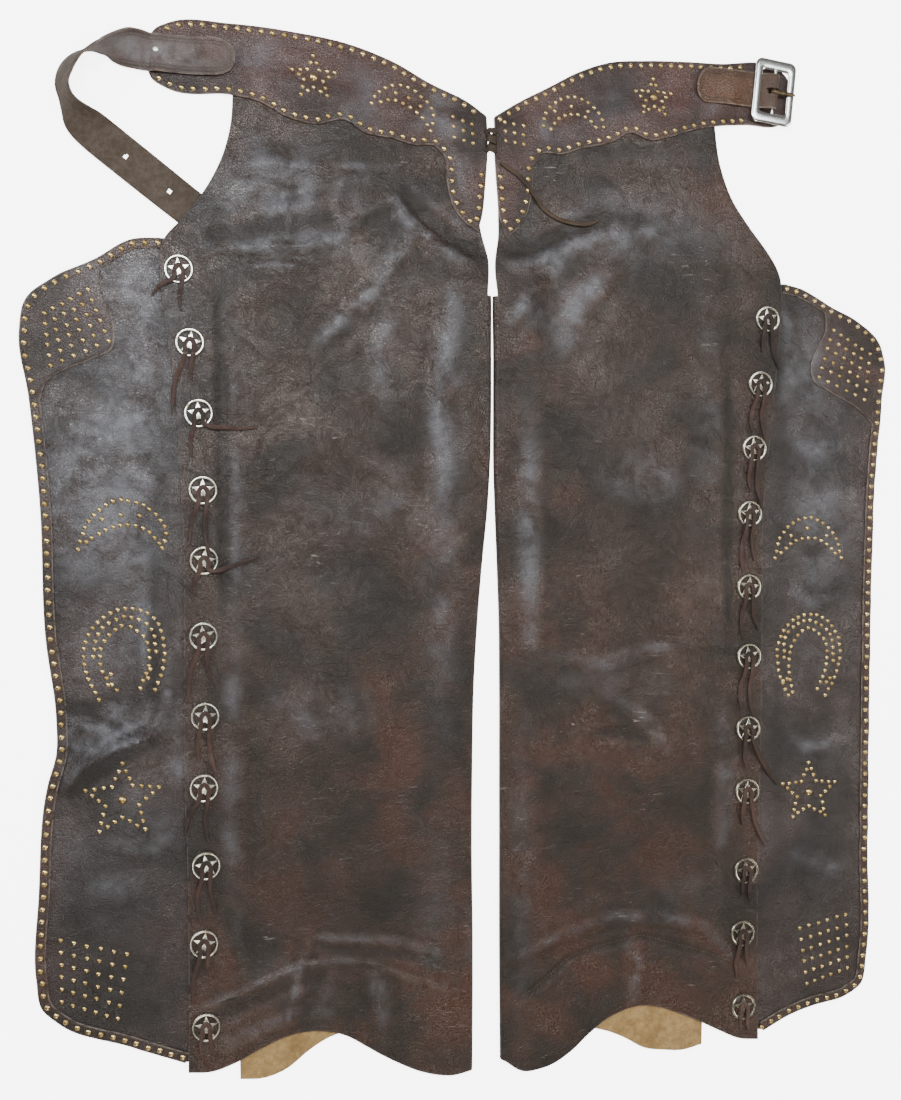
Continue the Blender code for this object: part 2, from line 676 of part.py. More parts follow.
def turned(name, profile, sides, at, material):
    """Round piece turned about an upright axis from a radius and height profile."""
    angles = np.arange(sides) * 2 * math.pi / sides
    points = [(at[0], at[1], profile[0][1])]
    for radius, z in profile[1:-1]:
        points += [(at[0] + radius * math.cos(a), at[1] + radius * math.sin(a), z) for a in angles]
    points.append((at[0], at[1], profile[-1][1]))
    rings = len(profile) - 2
    faces = [[0, 1 + (k + 1) % sides, 1 + k] for k in range(sides)]
    for ring in range(rings - 1):
        base = 1 + ring * sides
        for k in range(sides):
            after = (k + 1) % sides
            faces.append([base + k, base + after, base + sides + after, base + sides + k])
    base = 1 + (rings - 1) * sides
    faces += [[base + k, base + (k + 1) % sides, len(points) - 1] for k in range(sides)]
    return add_solid(name, points, faces, material)


def build_rivet():
    """The domed rivet through the strap's end."""
    low = LAY + STRAP + SEAT
    profile = [(0.0, low), (RIVET_RADIUS, low), (RIVET_RADIUS * 0.9, low + 0.8),
               (RIVET_RADIUS * 0.5, low + 1.4), (0.0, low + 1.6)]
    turned("strap_rivet", profile, 16, RIVET_AT, "nickel")


def round_box(width, height, radius, steps=4):
    """Rectangle with rounded corners, as a loop round the origin."""
    loop = []
    for corner, (sx, sy) in enumerate(((1, 1), (-1, 1), (-1, -1), (1, -1))):
        middle = np.array([sx * (width / 2 - radius), sy * (height / 2 - radius)])
        for k in range(steps + 1):
            angle = math.pi / 2 * (corner + k / steps)
            loop.append(middle + radius * np.array([math.cos(angle), math.sin(angle)]))
    return np.array(loop)


def flat_plate(low, thick):
    """Lay a cut level at a height, with a given thickness."""
    def laid(flat):
        return [np.column_stack([flat, np.full(len(flat), z)]) for z in (low + thick, low)]
    return laid


def build_buckle():
    """Centre-bar buckle frame, its chape and its prong, all turned together."""
    holder = bpy.data.objects.new("buckle_place", None)
    holder.location = (BUCKLE_AT[0] * MM, BUCKLE_AT[1] * MM, 0.0)
    holder.rotation_euler = (0.0, 0.0, BUCKLE_TURN)
    bpy.context.collection.objects.link(holder)
    width, height = BUCKLE_SIZE
    outline = round_box(width, height, BUCKLE_ROUND)
    clear_width = width / 2 - BUCKLE_SIDE - BAR_WIDTH / 2
    shift = (clear_width + BAR_WIDTH) / 2
    window = round_box(clear_width, height - 2 * BUCKLE_END, WINDOW_ROUND, 2)
    windows = [window + (shift, 0.0), window - (shift, 0.0)]
    flat, faces = cut_flat(outline, holes=windows)
    add_wall("buckle_frame", flat, faces, flat_plate(BUCKLE_LIFT, BUCKLE_THICK), "nickel", holder)
    build_chape(holder)
    build_prong(holder)


def chape_route():
    """Side view of the chape's middle line: down off the leg's top, up a ramp, once round the bar."""
    radius = RING_INNER + CHAPE_THICK / 2
    level = LAY + CHAPE_THICK / 2
    reach = math.hypot(CHAPE_RAMP, BAR_Z - level)
    slope = math.atan2(BAR_Z - level, CHAPE_RAMP) + math.asin(radius / reach)
    start = math.pi / 2 + slope
    turns = np.linspace(start, -math.pi / 2, 10)
    round_bar = [(radius * math.cos(a), BAR_Z + radius * math.sin(a)) for a in turns]
    over_leg = [(-CHAPE_LENGTH, level + LAY), (-CHAPE_STEP[0], level + LAY), (-CHAPE_STEP[1], level)]
    return np.array([*over_leg, (-CHAPE_RAMP, level), *round_bar, (-CHAPE_TAIL, BAR_Z - radius)])


def build_chape(holder):
    """The chape: cut flat with a slot for the prong, then laid along its route."""
    line = chape_route()
    run = np.diff(line, axis=0)
    lengths = np.linalg.norm(run, axis=1)
    along = np.concatenate([[0.0], np.cumsum(lengths)])
    normals = np.stack([-run[:, 1], run[:, 0]], axis=1) / lengths[:, None]
    joint = np.concatenate([normals[:1], normals[:-1] + normals[1:], normals[-1:]])
    joint /= np.sum(joint * np.concatenate([normals[:1], normals[1:], normals[-1:]]), axis=1)[:, None]
    half = CHAPE_WIDTH / 2
    nose = [(half * (1 - math.cos(a)) * 0.8, half * math.sin(a)) for a in np.linspace(-1.3, 1.3, 9)]
    nose = [(place, wide / math.sin(1.3)) for place, wide in nose]
    lows = [(at, -half) for at in along[1:]]
    highs = [(at, half) for at in along[1:]][::-1]
    outline = np.array(nose[::-1] + lows + highs)
    ramp = 3
    first = along[ramp] + (along[ramp + 1] - along[ramp]) * 0.45
    slot_at = [first, *along[ramp + 1:-1], along[-1] - 2.2]
    slot = [(at, -CHAPE_SLOT) for at in slot_at] + [(at, CHAPE_SLOT) for at in slot_at[::-1]]
    marks = [[(at, -half), (at, half)] for at in along[1:ramp + 1]]
    marks += [[(at, -half), (at, -CHAPE_SLOT)] for at in along[ramp + 1:-1]]
    marks += [[(at, CHAPE_SLOT), (at, half)] for at in along[ramp + 1:-1]]
    flat, faces = cut_flat(outline, holes=[np.array(slot)], marks=marks)

    def laid(points):
        place = [np.interp(points[:, 0], along, line[:, k]) for k in (0, 1)]
        tilt = [np.interp(points[:, 0], along, joint[:, k]) for k in (0, 1)]
        sheets = []
        for push in (CHAPE_THICK / 2, -CHAPE_THICK / 2):
            x, z = (place[k] + tilt[k] * push for k in (0, 1))
            level_out = np.maximum(-x - CHAPE_BEND_FROM, 0.0) * math.tan(BUCKLE_TURN)
            sheets.append(np.stack([x, points[:, 1] + level_out, z], axis=1))
        return sheets

    add_wall("chape", flat, faces, laid, "strap leather", holder)


def build_prong(holder):
    """The prong: a ring round the bar and a tongue that rests over the frame's far side."""
    outer = RING_INNER + RING_WALL
    low = BUCKLE_THICK / 2 + SEAT
    high = low + PRONG_THICK
    start, end = math.asin(high / outer), 2 * math.pi + math.asin(low / outer)
    ring = [(outer * math.cos(a), outer * math.sin(a)) for a in np.linspace(start, end, 16)]
    tip = [(PRONG_LENGTH, low), (PRONG_LENGTH + 0.8, low + 0.9), (PRONG_LENGTH, high - 0.3)]
    outline = np.array(ring + tip)
    hole = np.array([(RING_INNER * math.cos(a), RING_INNER * math.sin(a))
                     for a in np.arange(12) * math.pi / 6])
    flat, faces = cut_flat(outline, holes=[hole / math.cos(math.pi / 12)])

    def laid(points):
        return [np.stack([points[:, 0], np.full(len(points), y), points[:, 1]], axis=1)
                for y in (-PRONG_WIDTH / 2, PRONG_WIDTH / 2)]

    prong = add_wall("prong", flat, faces, laid, "nickel", holder)
    prong.location = (0.0, 0.0, BAR_Z * MM)


def star_windows():
    """The five gaps between a star's arms and the concho's ring, as triangles."""
    reach = CONCHO_RADIUS - CONCHO_RIM
    notch = reach * 0.42
    gaps = []
    for k in range(5):
        middle = math.pi / 2 + (k + 0.5) * 2 * math.pi / 5
        lean = math.radians(25.0)
        gap = [(notch * math.cos(middle), notch * math.sin(middle))]
        gap += [(reach * math.cos(middle + a), reach * math.sin(middle + a)) for a in (-lean, 0.0, lean)]
        gaps.append(np.array(gap))
    return gaps


def build_conchos(side):
    """A row of round conchos with star cut-outs along the laced edge."""
    sign = SIDES[side]
    angles = np.arange(CONCHO_SIDES) * 2 * math.pi / CONCHO_SIDES
    rim = np.stack([np.cos(angles), np.sin(angles)], axis=1) * CONCHO_RADIUS
    flat, faces = cut_flat(rim, holes=star_windows())
    for number, (out, y) in enumerate(CONCHO_AT[side], start=1):
        low = float(front_under(side, np.array(out), np.array(y))) + LEATHER + SEAT
        name = f"concho_{side}_{number:02d}"
        item = add_wall(name, flat, faces, flat_plate(0.0, CONCHO), "nickel")
        item.location = (sign * out * MM, y * MM, low * MM)


def surface_top(x, y):
    """Highest surface under a thong: a concho, a yoke, a front panel or a wing."""
    side = "left" if x < 0 else "right"
    out = abs(x)
    spot = np.array(out), np.array(y)
    height = float(wing_under(side, *spot)) + LEATHER
    if out < float(leg_edges(side, y)[0]) + 4.0:
        height = max(height, float(front_under(side, *spot)) + LEATHER)
    yoke = rounded_loop(YOKE_EDGE[side], YOKE_CORNERS[side], 14.0)
    if inside(yoke, np.array([[x, y]]))[0] or edge_distance(yoke, np.array([[x, y]]))[0] < 4.0:
        height = max(height, LAY + LEATHER)
    for place_out, place_y in CONCHO_AT[side]:
        if math.hypot(out - place_out, y - place_y) < CONCHO_RADIUS + 5.0:
            level = float(front_under(side, np.array(place_out), np.array(place_y)))
            height = max(height, level + LEATHER + SEAT + CONCHO)
    return height


def rest_heights(route, reach, thick):
    """Middle heights of a strip that lies over whatever is within reach of each place."""
    heights = []
    for x, y in route:
        spots = [(x + dx, y + dy) for dx in (-reach, 0, reach) for dy in (-reach, 0, reach)]
        heights.append(max(surface_top(*spot) for spot in spots) + SEAT + thick / 2)
    return np.array(heights)


def lay_strip(name, route, width, reach):
    """A thong laid flat along a route, narrowing to its tips."""
    heights = rest_heights(route, reach, THONG) + 0.15
    centres = np.column_stack([route, heights])
    ahead = np.gradient(route, axis=0)
    lean = np.stack([-ahead[:, 1], ahead[:, 0], np.zeros(len(route))], axis=1)
    widths = np.full(len(route), width)
    widths[[0, -1]] = width * 0.45
    ribbon(name, centres, lean, widths, THONG, "thong leather")


def thong_route(side, number):
    """Plan of one thong: up from its left end, over the concho's middle, down to its right end."""
    out, y = CONCHO_AT[side][number]
    middle = np.array([SIDES[side] * out, y])
    left_x, left_y, right_x, right_y = THONG_ENDS[side][number]
    shoulder = np.array([THONG_TURN, 0.0])
    halves = []
    for shift, end in ((-shoulder, (left_x, left_y)), (shoulder, (right_x, right_y))):
        tip = np.array(end, dtype=float)
        drop = shift + (0.0, -CONCHO_RADIUS * 0.55)
        bow = drop + (tip - drop) * 0.5 + np.array([tip[1], -tip[0]]) * 0.05
        halves.append(smooth_route([tip, bow, drop, shift], THONG_STEPS))
    top = np.array([[0.0, THONG_TURN]])
    return np.concatenate([halves[0], top, halves[1][::-1]]) + middle


def build_thongs(side):
    """The laced thongs, each one strip whose two ends hang from its concho."""
    for number in range(len(CONCHO_AT[side])):
        name = f"tie_{side}_{number + 1:02d}"
        lay_strip(name, thong_route(side, number), THONG_WIDTH, 4.6)


def build_centre_lace():
    """The knot that joins the two yokes, and the lace's free end."""
    width, height, thick = KNOT_SIZE
    low = LAY + LEATHER + SEAT
    shape = bmesh.new()
    bmesh.ops.create_cube(shape, size=1.0)
    bmesh.ops.scale(shape, vec=Vector((width, height, thick)) * MM, verts=shape.verts)
    bmesh.ops.bevel(shape, geom=shape.edges[:], offset=1.6 * MM, segments=2, affect="EDGES", profile=0.5)
    bmesh.ops.triangulate(shape, faces=shape.faces)
    mesh = bpy.data.meshes.new("lace_knot")
    shape.to_mesh(mesh)
    shape.free()
    knot = bpy.data.objects.new("lace_knot", mesh)
    knot.location = (KNOT_AT[0] * MM, KNOT_AT[1] * MM, (low + thick / 2) * MM)
    mesh.materials.append(finish("thong leather"))
    bpy.context.collection.objects.link(knot)
    route = smooth_route(LACE_ROUTE["rows"], 20)
    lay_strip("centre_lace", route, LACE_WIDTH, 4.6)


def stand_over_origin():
    """Move the finished pieces so that the whole lies centred over the origin."""
    for item in bpy.data.objects:
        if item.parent is None:
            item.location.x += PLACE[0] * MM
            item.location.y += PLACE[1] * MM


def build():
    """Make every piece of the chaps."""
    clear_scene()
    for side in SIDES:
        build_leg(side)
        build_wing(side)
        build_yoke(side)
        build_conchos(side)
        build_thongs(side)
    build_strap()
    build_rivet()
    build_buckle()
    build_centre_lace()
    stand_over_origin()
    bpy.context.view_layer.update()


build()
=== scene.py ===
"""Dress the studded leather chaps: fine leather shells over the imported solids, conchos, thongs,
studs and stitching, on a pale studio floor.

Sizes are millimetres until a mesh is made. x runs across, y up the legs, z up from the table, and
"out" is the distance from the chaps' middle line.
"""
from __future__ import annotations

import logging
import math
from dataclasses import dataclass
from enum import Enum
from typing import Sequence

import bmesh
import bpy
import numpy as np
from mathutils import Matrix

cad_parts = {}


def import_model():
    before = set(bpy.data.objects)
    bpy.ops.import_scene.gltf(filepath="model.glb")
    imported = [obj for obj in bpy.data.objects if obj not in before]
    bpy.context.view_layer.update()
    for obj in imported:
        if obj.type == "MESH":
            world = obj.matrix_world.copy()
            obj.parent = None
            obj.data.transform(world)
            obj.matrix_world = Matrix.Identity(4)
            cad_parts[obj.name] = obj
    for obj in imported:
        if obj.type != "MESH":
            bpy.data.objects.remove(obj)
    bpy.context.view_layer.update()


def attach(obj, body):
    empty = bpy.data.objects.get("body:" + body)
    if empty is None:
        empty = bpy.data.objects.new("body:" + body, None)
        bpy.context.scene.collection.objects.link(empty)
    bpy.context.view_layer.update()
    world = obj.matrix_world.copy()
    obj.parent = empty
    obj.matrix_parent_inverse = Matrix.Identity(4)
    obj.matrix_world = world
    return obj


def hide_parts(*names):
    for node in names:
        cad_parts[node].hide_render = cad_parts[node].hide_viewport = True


LOG = logging.getLogger("chaps")
MM = 0.001
PLACE = np.array([4.0, -7.7, 0.0])

LEATHER = 2.2
TRIM = 1.6
STRAP = 2.8
SEAT = 0.3
LAY = LEATHER + SEAT
CREASE_DEPTH = 1.9
Points = Sequence[Sequence[float]]


class Side(Enum):
    """Which half of the chaps, and its sign along x."""

    LEFT = -1.0
    RIGHT = 1.0

    @property
    def word(self) -> str:
        """The side's name as the nodes spell it."""
        return self.name.lower()


# ---- plane tools ----


def read_curve(stations: np.ndarray, values: np.ndarray, at: np.ndarray) -> np.ndarray:
    """Read a smooth curve through a table: cubic pieces that share their slopes.

    Args:
        stations: Rising places where the values are known.
        values: The curve's value at each station.
        at: Places to read.

    Returns:
        The curve's value at each place.
    """
    slopes = np.gradient(values, stations)
    at = np.clip(np.asarray(at, dtype=float), stations[0], stations[-1])
    left = np.clip(np.searchsorted(stations, at) - 1, 0, len(stations) - 2)
    span = stations[left + 1] - stations[left]
    t = (at - stations[left]) / span
    start = (2 * t**3 - 3 * t**2 + 1) * values[left] + (t**3 - 2 * t**2 + t) * span * slopes[left]
    end = (3 * t**2 - 2 * t**3) * values[left + 1] + (t**3 - t**2) * span * slopes[left + 1]
    return start + end


def ease(low: float, high: float, value: np.ndarray) -> np.ndarray:
    """Rise from 0 at low to 1 at high along 3t^2 - 2t^3."""
    t = np.clip((np.asarray(value, dtype=float) - low) / (high - low), 0.0, 1.0)
    return t * t * (3.0 - 2.0 * t)


def lengths_along(points: np.ndarray) -> np.ndarray:
    """Distance from a line's start to each of its points."""
    return np.concatenate([[0.0], np.cumsum(np.linalg.norm(np.diff(points, axis=0), axis=1))])


def smooth_line(points: Points, count: int = 0, step: float = 0.0, shares: np.ndarray | None = None,
                bend: bool = True) -> np.ndarray:
    """Places along a line through given points.

    Args:
        points: The line's points, of two or three numbers each.
        count: How many even places, where step and shares aren't given.
        step: Even distance between places.
        shares: Shares of the line's length to read instead.
        bend: Whether the line is smooth between its points, or straight.

    Returns:
        One place per row.
    """
    points = np.asarray(points, dtype=float)
    along = lengths_along(points)
    if shares is None:
        count = count or max(2, int(round(along[-1] / step)) + 1)
        shares = np.linspace(0.0, 1.0, count)
    at = np.asarray(shares) * along[-1]
    if bend and len(points) > 2:
        return np.stack([read_curve(along, points[:, k], at) for k in range(points.shape[1])], axis=1)
    return np.stack([np.interp(at, along, points[:, k]) for k in range(points.shape[1])], axis=1)


def line_distance(line: Points, x: np.ndarray, y: np.ndarray) -> tuple[np.ndarray, np.ndarray]:
    """Distance of every point from an open line, and the share of the line where it is nearest.

    Args:
        line: Points of the line, two numbers each.
        x: Across places.
        y: Up places.

    Returns:
        Distances and shares, shaped as x. The distance is negative on the line's right hand.
    """
    line = np.asarray(line, dtype=float)
    along = lengths_along(line)
    best = np.full(np.shape(x), 1e9)
    share = np.zeros(np.shape(x))
    for k in range(len(line) - 1):
        run = line[k + 1] - line[k]
        t = ((x - line[k, 0]) * run[0] + (y - line[k, 1]) * run[1]) / (run @ run)
        t = np.clip(t, 0.0, 1.0)
        off_x, off_y = x - line[k, 0] - t * run[0], y - line[k, 1] - t * run[1]
        away = np.hypot(off_x, off_y)
        away = np.where(run[0] * off_y - run[1] * off_x < 0.0, -away, away)
        closer = np.abs(away) < np.abs(best)
        best = np.where(closer, away, best)
        share = np.where(closer, (along[k] + t * (along[k + 1] - along[k])) / along[-1], share)
    return best, share


def inside(loop: np.ndarray, points: np.ndarray) -> np.ndarray:
    """Which points lie in a closed loop, by counting the edges crossed to one side."""
    after = np.roll(loop, -1, axis=0)
    x, y = points[:, :1], points[:, 1:2]
    spans = (loop[:, 1] > y) != (after[:, 1] > y)
    rise = np.where(after[:, 1] == loop[:, 1], 1.0, after[:, 1] - loop[:, 1])
    cross = loop[:, 0] + (y - loop[:, 1]) / rise * (after[:, 0] - loop[:, 0])
    return (np.sum(spans & (x < cross), axis=1) % 2) == 1


def loop_distance(loop: np.ndarray, points: np.ndarray) -> np.ndarray:
    """Distance of each point from a closed loop's edges."""
    closed = np.concatenate([loop, loop[:1]])
    return np.abs(line_distance(closed, points[:, 0], points[:, 1])[0])


def spread(length: float, step: float, edge: Sequence[float] = (0.7, 1.9)) -> np.ndarray:
    """Shares of a length in even steps, with closer lines at both ends so that a cut edge can be round."""
    near = [place / length for place in edge]
    middle = np.linspace(near[-1] + step / length, 1.0 - near[-1] - step / length,
                         max(2, int(round((length - 2 * edge[-1]) / step)) - 1))
    return np.concatenate([[0.0], near, middle, [1.0 - n for n in near[::-1]], [1.0]])


@dataclass(frozen=True)
class Crease:
    """A soft uneven ridge (height above 0) or trough (below 0) along a line on a leather piece."""

    line: tuple[tuple[float, float], ...]
    half_width: float
    height: float
    lean: float = 0.0

    def relief(self, x: np.ndarray, y: np.ndarray) -> np.ndarray:
        """Height along the crease: a bell curve across it, fading at both ends, leaning to one side.

        Args:
            x: Across places.
            y: Up places.

        Returns:
            The height at each place.
        """
        away, share = line_distance(self.line, x, y)
        wave = 1.0 + 0.22 * np.sin(share * 23.0 + self.height * 5.0) + 0.12 * np.sin(share * 51.0)
        fade = np.sqrt(np.clip(np.sin(np.pi * np.clip(share, 0.0, 1.0)), 0.0, 1.0))
        t = away / (self.half_width * (0.8 + 0.4 * fade))
        bell = np.exp(-t * t)
        shoulder = np.exp(-((np.abs(t) - 1.7) ** 2) * 1.6)
        return self.height * CREASE_DEPTH * fade * wave * (bell - 0.28 * shoulder + self.lean * t * bell)


def relief(creases: Sequence[Crease], x: np.ndarray, y: np.ndarray) -> np.ndarray:
    """Sum of all creases' heights."""
    total = np.zeros(np.shape(x))
    for crease in creases:
        total = total + crease.relief(x, y)
    return total


def soft_noise(x: np.ndarray, y: np.ndarray, size: float, seed: int) -> np.ndarray:
    """Smooth uneven height from -1 to 1: a fixed sum of slanted sine waves of about one size."""
    source = np.random.default_rng(seed)
    total = np.zeros(np.shape(x))
    for _ in range(7):
        angle = source.uniform(0.0, math.pi)
        wave = 2 * math.pi / (size * source.uniform(0.6, 1.7))
        phase = source.uniform(0.0, 2 * math.pi)
        bend = 0.6 * np.sin((x * math.sin(angle) - y * math.cos(angle)) * wave * 0.45 + phase * 2)
        total = total + np.sin((x * math.cos(angle) + y * math.sin(angle)) * wave + phase + bend)
    return total / 4.0


# ---- meshes ----


def make_mesh(name: str, points: np.ndarray, faces: list[np.ndarray], marks: dict[str, np.ndarray] | None = None,
              recalc: bool = True, sharp: float = 42.0) -> bpy.types.Object:
    """Put worked-out points and faces into one object that stands at the origin.

    Args:
        name: The piece's name.
        points: Places in millimetres round the chaps' middle line, one per row.
        faces: Arrays of faces, each of three or four corners per row.
        marks: Values to keep at each point for the materials, by name.
        recalc: Whether the faces are turned outwards, for a closed piece.
        sharp: Angle in degrees past which an edge looks sharp.

    Returns:
        The new object.
    """
    mesh = bpy.data.meshes.new(name)
    flat = [face.tolist() for group in faces for face in group]
    mesh.from_pydata([], [], [])
    mesh.from_pydata(((np.asarray(points) + PLACE) * MM).tolist(), [], flat)
    for mark, values in (marks or {}).items():
        layer = mesh.attributes.new(mark, "FLOAT", "POINT")
        layer.data.foreach_set("value", np.asarray(values, dtype=np.float32).ravel())
    mesh.validate()
    item = bpy.data.objects.new(name, mesh)
    bpy.context.collection.objects.link(item)
    if recalc:
        shape = bmesh.new()
        shape.from_mesh(mesh)
        bmesh.ops.recalc_face_normals(shape, faces=shape.faces)
        shape.to_mesh(mesh)
        shape.free()
    mesh.shade_smooth()
    mesh.set_sharp_from_angle(angle=math.radians(sharp))
    return item


def wall_faces(rows: int, columns: int, keep: np.ndarray | None = None) -> list[np.ndarray]:
    """Faces of a wall whose grain sheet is a grid and whose flesh sheet follows it, closed by a rim.

    Args:
        rows: Grid lines up.
        columns: Grid lines across.
        keep: Which grid cells belong to the piece; all where not given.

    Returns:
        The grain side, flesh side and rim as arrays of four corners.
    """
    index = np.arange(rows * columns).reshape(rows, columns)
    count = rows * columns
    keep = np.ones((rows - 1, columns - 1), dtype=bool) if keep is None else keep
    grain = np.stack([index[:-1, :-1], index[:-1, 1:], index[1:, 1:], index[1:, :-1]], axis=-1)[keep]
    padded = np.pad(keep, 1)
    left, right = index[:, :-1], index[:, 1:]
    above, below = padded[1:, 1:-1], padded[:-1, 1:-1]
    low, high = index[:-1], index[1:]
    after, before = padded[1:-1, 1:], padded[1:-1, :-1]
    rim = []
    for start, end, chosen in ((right, left, above & ~below), (left, right, below & ~above),
                               (low, high, after & ~before), (high, low, before & ~after)):
        a, b = start[chosen], end[chosen]
        rim.append(np.stack([a, b, b + count, a + count], axis=-1))
    return [grain, grain[:, ::-1] + count, *rim]


def make_wall(name: str, grain: np.ndarray, flesh: np.ndarray, marks: dict[str, np.ndarray],
              keep: np.ndarray | None = None) -> bpy.types.Object:
    """One leather wall from its grain side and flesh side, each a grid of places.

    Args:
        name: The piece's name.
        grain: Places of the grain side, rows by columns by three.
        flesh: Places of the flesh side, as grain.
        marks: Values at each grain place, repeated on the flesh side.
        keep: Which grid cells belong to the piece.

    Returns:
        The new object, with an added mark "flesh" that is 1 on the flesh side.
    """
    rows, columns = grain.shape[:2]
    points = np.concatenate([grain.reshape(-1, 3), flesh.reshape(-1, 3)])
    both = {mark: np.tile(np.asarray(values).ravel(), 2) for mark, values in marks.items()}
    half = rows * columns
    both["flesh"] = np.concatenate([np.zeros(half), np.ones(half)])
    faces = wall_faces(rows, columns, keep)
    if keep is not None:
        used = np.unique(np.concatenate([group.ravel() for group in faces]))
        fresh = np.zeros(len(points), dtype=int)
        fresh[used] = np.arange(len(used))
        points = points[used]
        faces = [fresh[group] for group in faces]
        both = {mark: values[used] for mark, values in both.items()}
    return make_mesh(name, points, faces, both)


def make_sweep(name: str, centres: np.ndarray, across: np.ndarray, up: np.ndarray, profile: np.ndarray,
               scale: np.ndarray | None = None, marks: dict[str, np.ndarray] | None = None,
               closed: bool = False) -> bpy.types.Object:
    """Carry a closed profile along a path: point = centre + across * a + up * b, capped at both ends.

    Args:
        name: The piece's name.
        centres: The path's places.
        across: The profile's first direction at each place, of length 1.
        up: The profile's second direction at each place.
        profile: The profile's points (a, b), round it once.
        scale: Width of the profile at each place, as a share.
        marks: Values at each path place, kept for the materials.
        closed: Whether the path ends where it starts.

    Returns:
        The new object.
    """
    count, sides = len(centres), len(profile)
    scale = np.ones(count) if scale is None else scale
    places = (centres[:, None, :] + across[:, None, :] * profile[None, :, :1] * scale[:, None, None]
              + up[:, None, :] * profile[None, :, 1:2])
    index = np.arange(count * sides).reshape(count, sides)
    after = np.roll(index, -1, axis=1)
    if closed:
        near, far, near_after, far_after = index, np.roll(index, -1, axis=0), after, np.roll(after, -1, axis=0)
    else:
        near, far, near_after, far_after = index[:-1], index[1:], after[:-1], after[1:]
    faces = [np.stack([near, near_after, far_after, far], axis=-1).reshape(-1, 4)]
    if not closed:
        faces += [index[:1], index[-1:, ::-1]]
    spread_marks = {mark: np.repeat(values, sides) for mark, values in (marks or {}).items()}
    return make_mesh(name, places.reshape(-1, 3), faces, spread_marks)


def frame_along(path: np.ndarray, lean: np.ndarray) -> tuple[np.ndarray, np.ndarray]:
    """Directions across and up at each place of a path, square to it, with across as near lean as it can be."""
    ahead = np.gradient(path, axis=0)
    ahead /= np.linalg.norm(ahead, axis=1)[:, None]
    across = lean - np.sum(lean * ahead, axis=1)[:, None] * ahead
    across /= np.linalg.norm(across, axis=1)[:, None]
    return across, np.cross(ahead, across)


def round_slab(width: float, thick: float, corner: float, steps: int = 2, crown: float = 0.0) -> np.ndarray:
    """Profile of a flat strip: a rectangle with rounded corners whose top may be crowned."""
    loop = []
    for turn, (sx, sy) in enumerate(((1, 1), (-1, 1), (-1, -1), (1, -1))):
        middle = np.array([sx * (width / 2 - corner), sy * (thick / 2 - corner)])
        angles = math.pi / 2 * (turn + np.arange(steps + 1) / steps)
        loop.append(middle + corner * np.stack([np.cos(angles), np.sin(angles)], axis=1))
        if turn == 0 and crown:
            a = np.linspace(0.6, -0.6, 5) * (width / 2 - corner)
            loop.append(np.stack([a, thick / 2 + crown * (1 - (2 * a / width) ** 2)], axis=1))
    return np.concatenate(loop)


# ---- shapes shared with the solids ----

# Leg edges: height y, then how far out the side edge and the inside-leg edge lie
LEG_EDGES = {
    Side.LEFT: (
        (-505, 289, 19), (-360, 289, 18.5), (-280, 290, 19.5), (-200, 293, 19), (-120, 293, 17.5),
        (-60, 293, 14), (0, 293, 9), (50, 295, 4), (100, 298, 1), (150, 301, 0), (200, 307, 0),
        (255, 314, 0), (276, 315, 0.5), (297, 311, 3), (318, 293, 9), (340, 277, 13), (370, 261, 14),
        (400, 252, 15), (450, 248, 15),
    ),
    Side.RIGHT: (
        (-505, 284, 9), (-360, 283.5, 8), (-280, 285, 8), (-200, 287, 8), (-120, 288.5, 8),
        (-60, 289, 7.5), (0, 289, 5.5), (50, 290, 3.5), (100, 295, 2), (150, 300, 2), (200, 305.5, 2),
        (255, 310, 1.5), (276, 311, 2), (297, 307, 5), (318, 294, 8), (340, 277, 8), (370, 256, 8),
        (400, 244, 9), (450, 236, 9),
    ),
}
# Front hem: share of the width from the side edge, then y on the left and right leg
FRONT_HEM = (
    (0.0, -471, -491), (0.08, -472, -488), (0.16, -466, -478), (0.24, -456, -467), (0.32, -447, -457),
    (0.4, -443, -449), (0.48, -444, -446), (0.56, -451, -451), (0.62, -461, -458), (0.68, -471, -470),
    (0.74, -480, -484), (0.8, -488, -494), (0.87, -494, -499), (0.94, -496, -498), (1.0, -493, -487),
)
# Back hem: share of the width from the fold, then y on the left and right leg
BACK_HEM = (
    (0.0, -492, -482), (0.12, -491, -487), (0.25, -477, -478), (0.38, -460, -464), (0.5, -447, -468),
    (0.6, -449, -477), (0.7, -460, -489), (0.8, -476, -493), (0.9, -483, -495), (1.0, -482, -491),
)
# Leg top, hidden under the yoke: share of the width from the side edge, then y
LEG_TOP = (
    (0.0, 452, 460), (0.35, 436, 444), (0.7, 424, 424), (1.0, 414, 414),
)
# Soft folds of the front panels, as in the solids: a ridge between two places, half width, height
FRONT_FOLDS = {
    Side.LEFT: (
        (240, 318, 120, 334, 20, 2.6), (225, 250, 120, 330, 17, 1.8), (40, 240, 44, -170, 17, 1.6),
        (235, -400, 150, -366, 13, 1.5), (150, -366, 40, -398, 13, 1.5), (170, 120, 190, -40, 30, 1.2),
    ),
    Side.RIGHT: (
        (20, 250, 70, 190, 18, 1.6), (95, 300, 120, 150, 30, 1.6), (36, 150, 30, -120, 14, 1.4),
        (30, -385, 115, -345, 13, 1.5), (115, -345, 225, -366, 13, 1.5), (150, 30, 170, -120, 30, 1.2),
    ),
}
# Wing folds, as in the solids
WING_FOLDS = {
    Side.LEFT: (
        (326, -60, 325, -150, 11, 4.0), (325, -165, 392, -196, 14, 8.0), (372, 60, 366, -20, 22, 2.0),
        (350, -260, 380, -330, 24, 2.0),
    ),
    Side.RIGHT: (
        (362, 120, 370, 30, 20, 2.0), (352, -30, 362, -120, 20, 1.6), (360, -250, 352, -330, 24, 2.2),
    ),
}
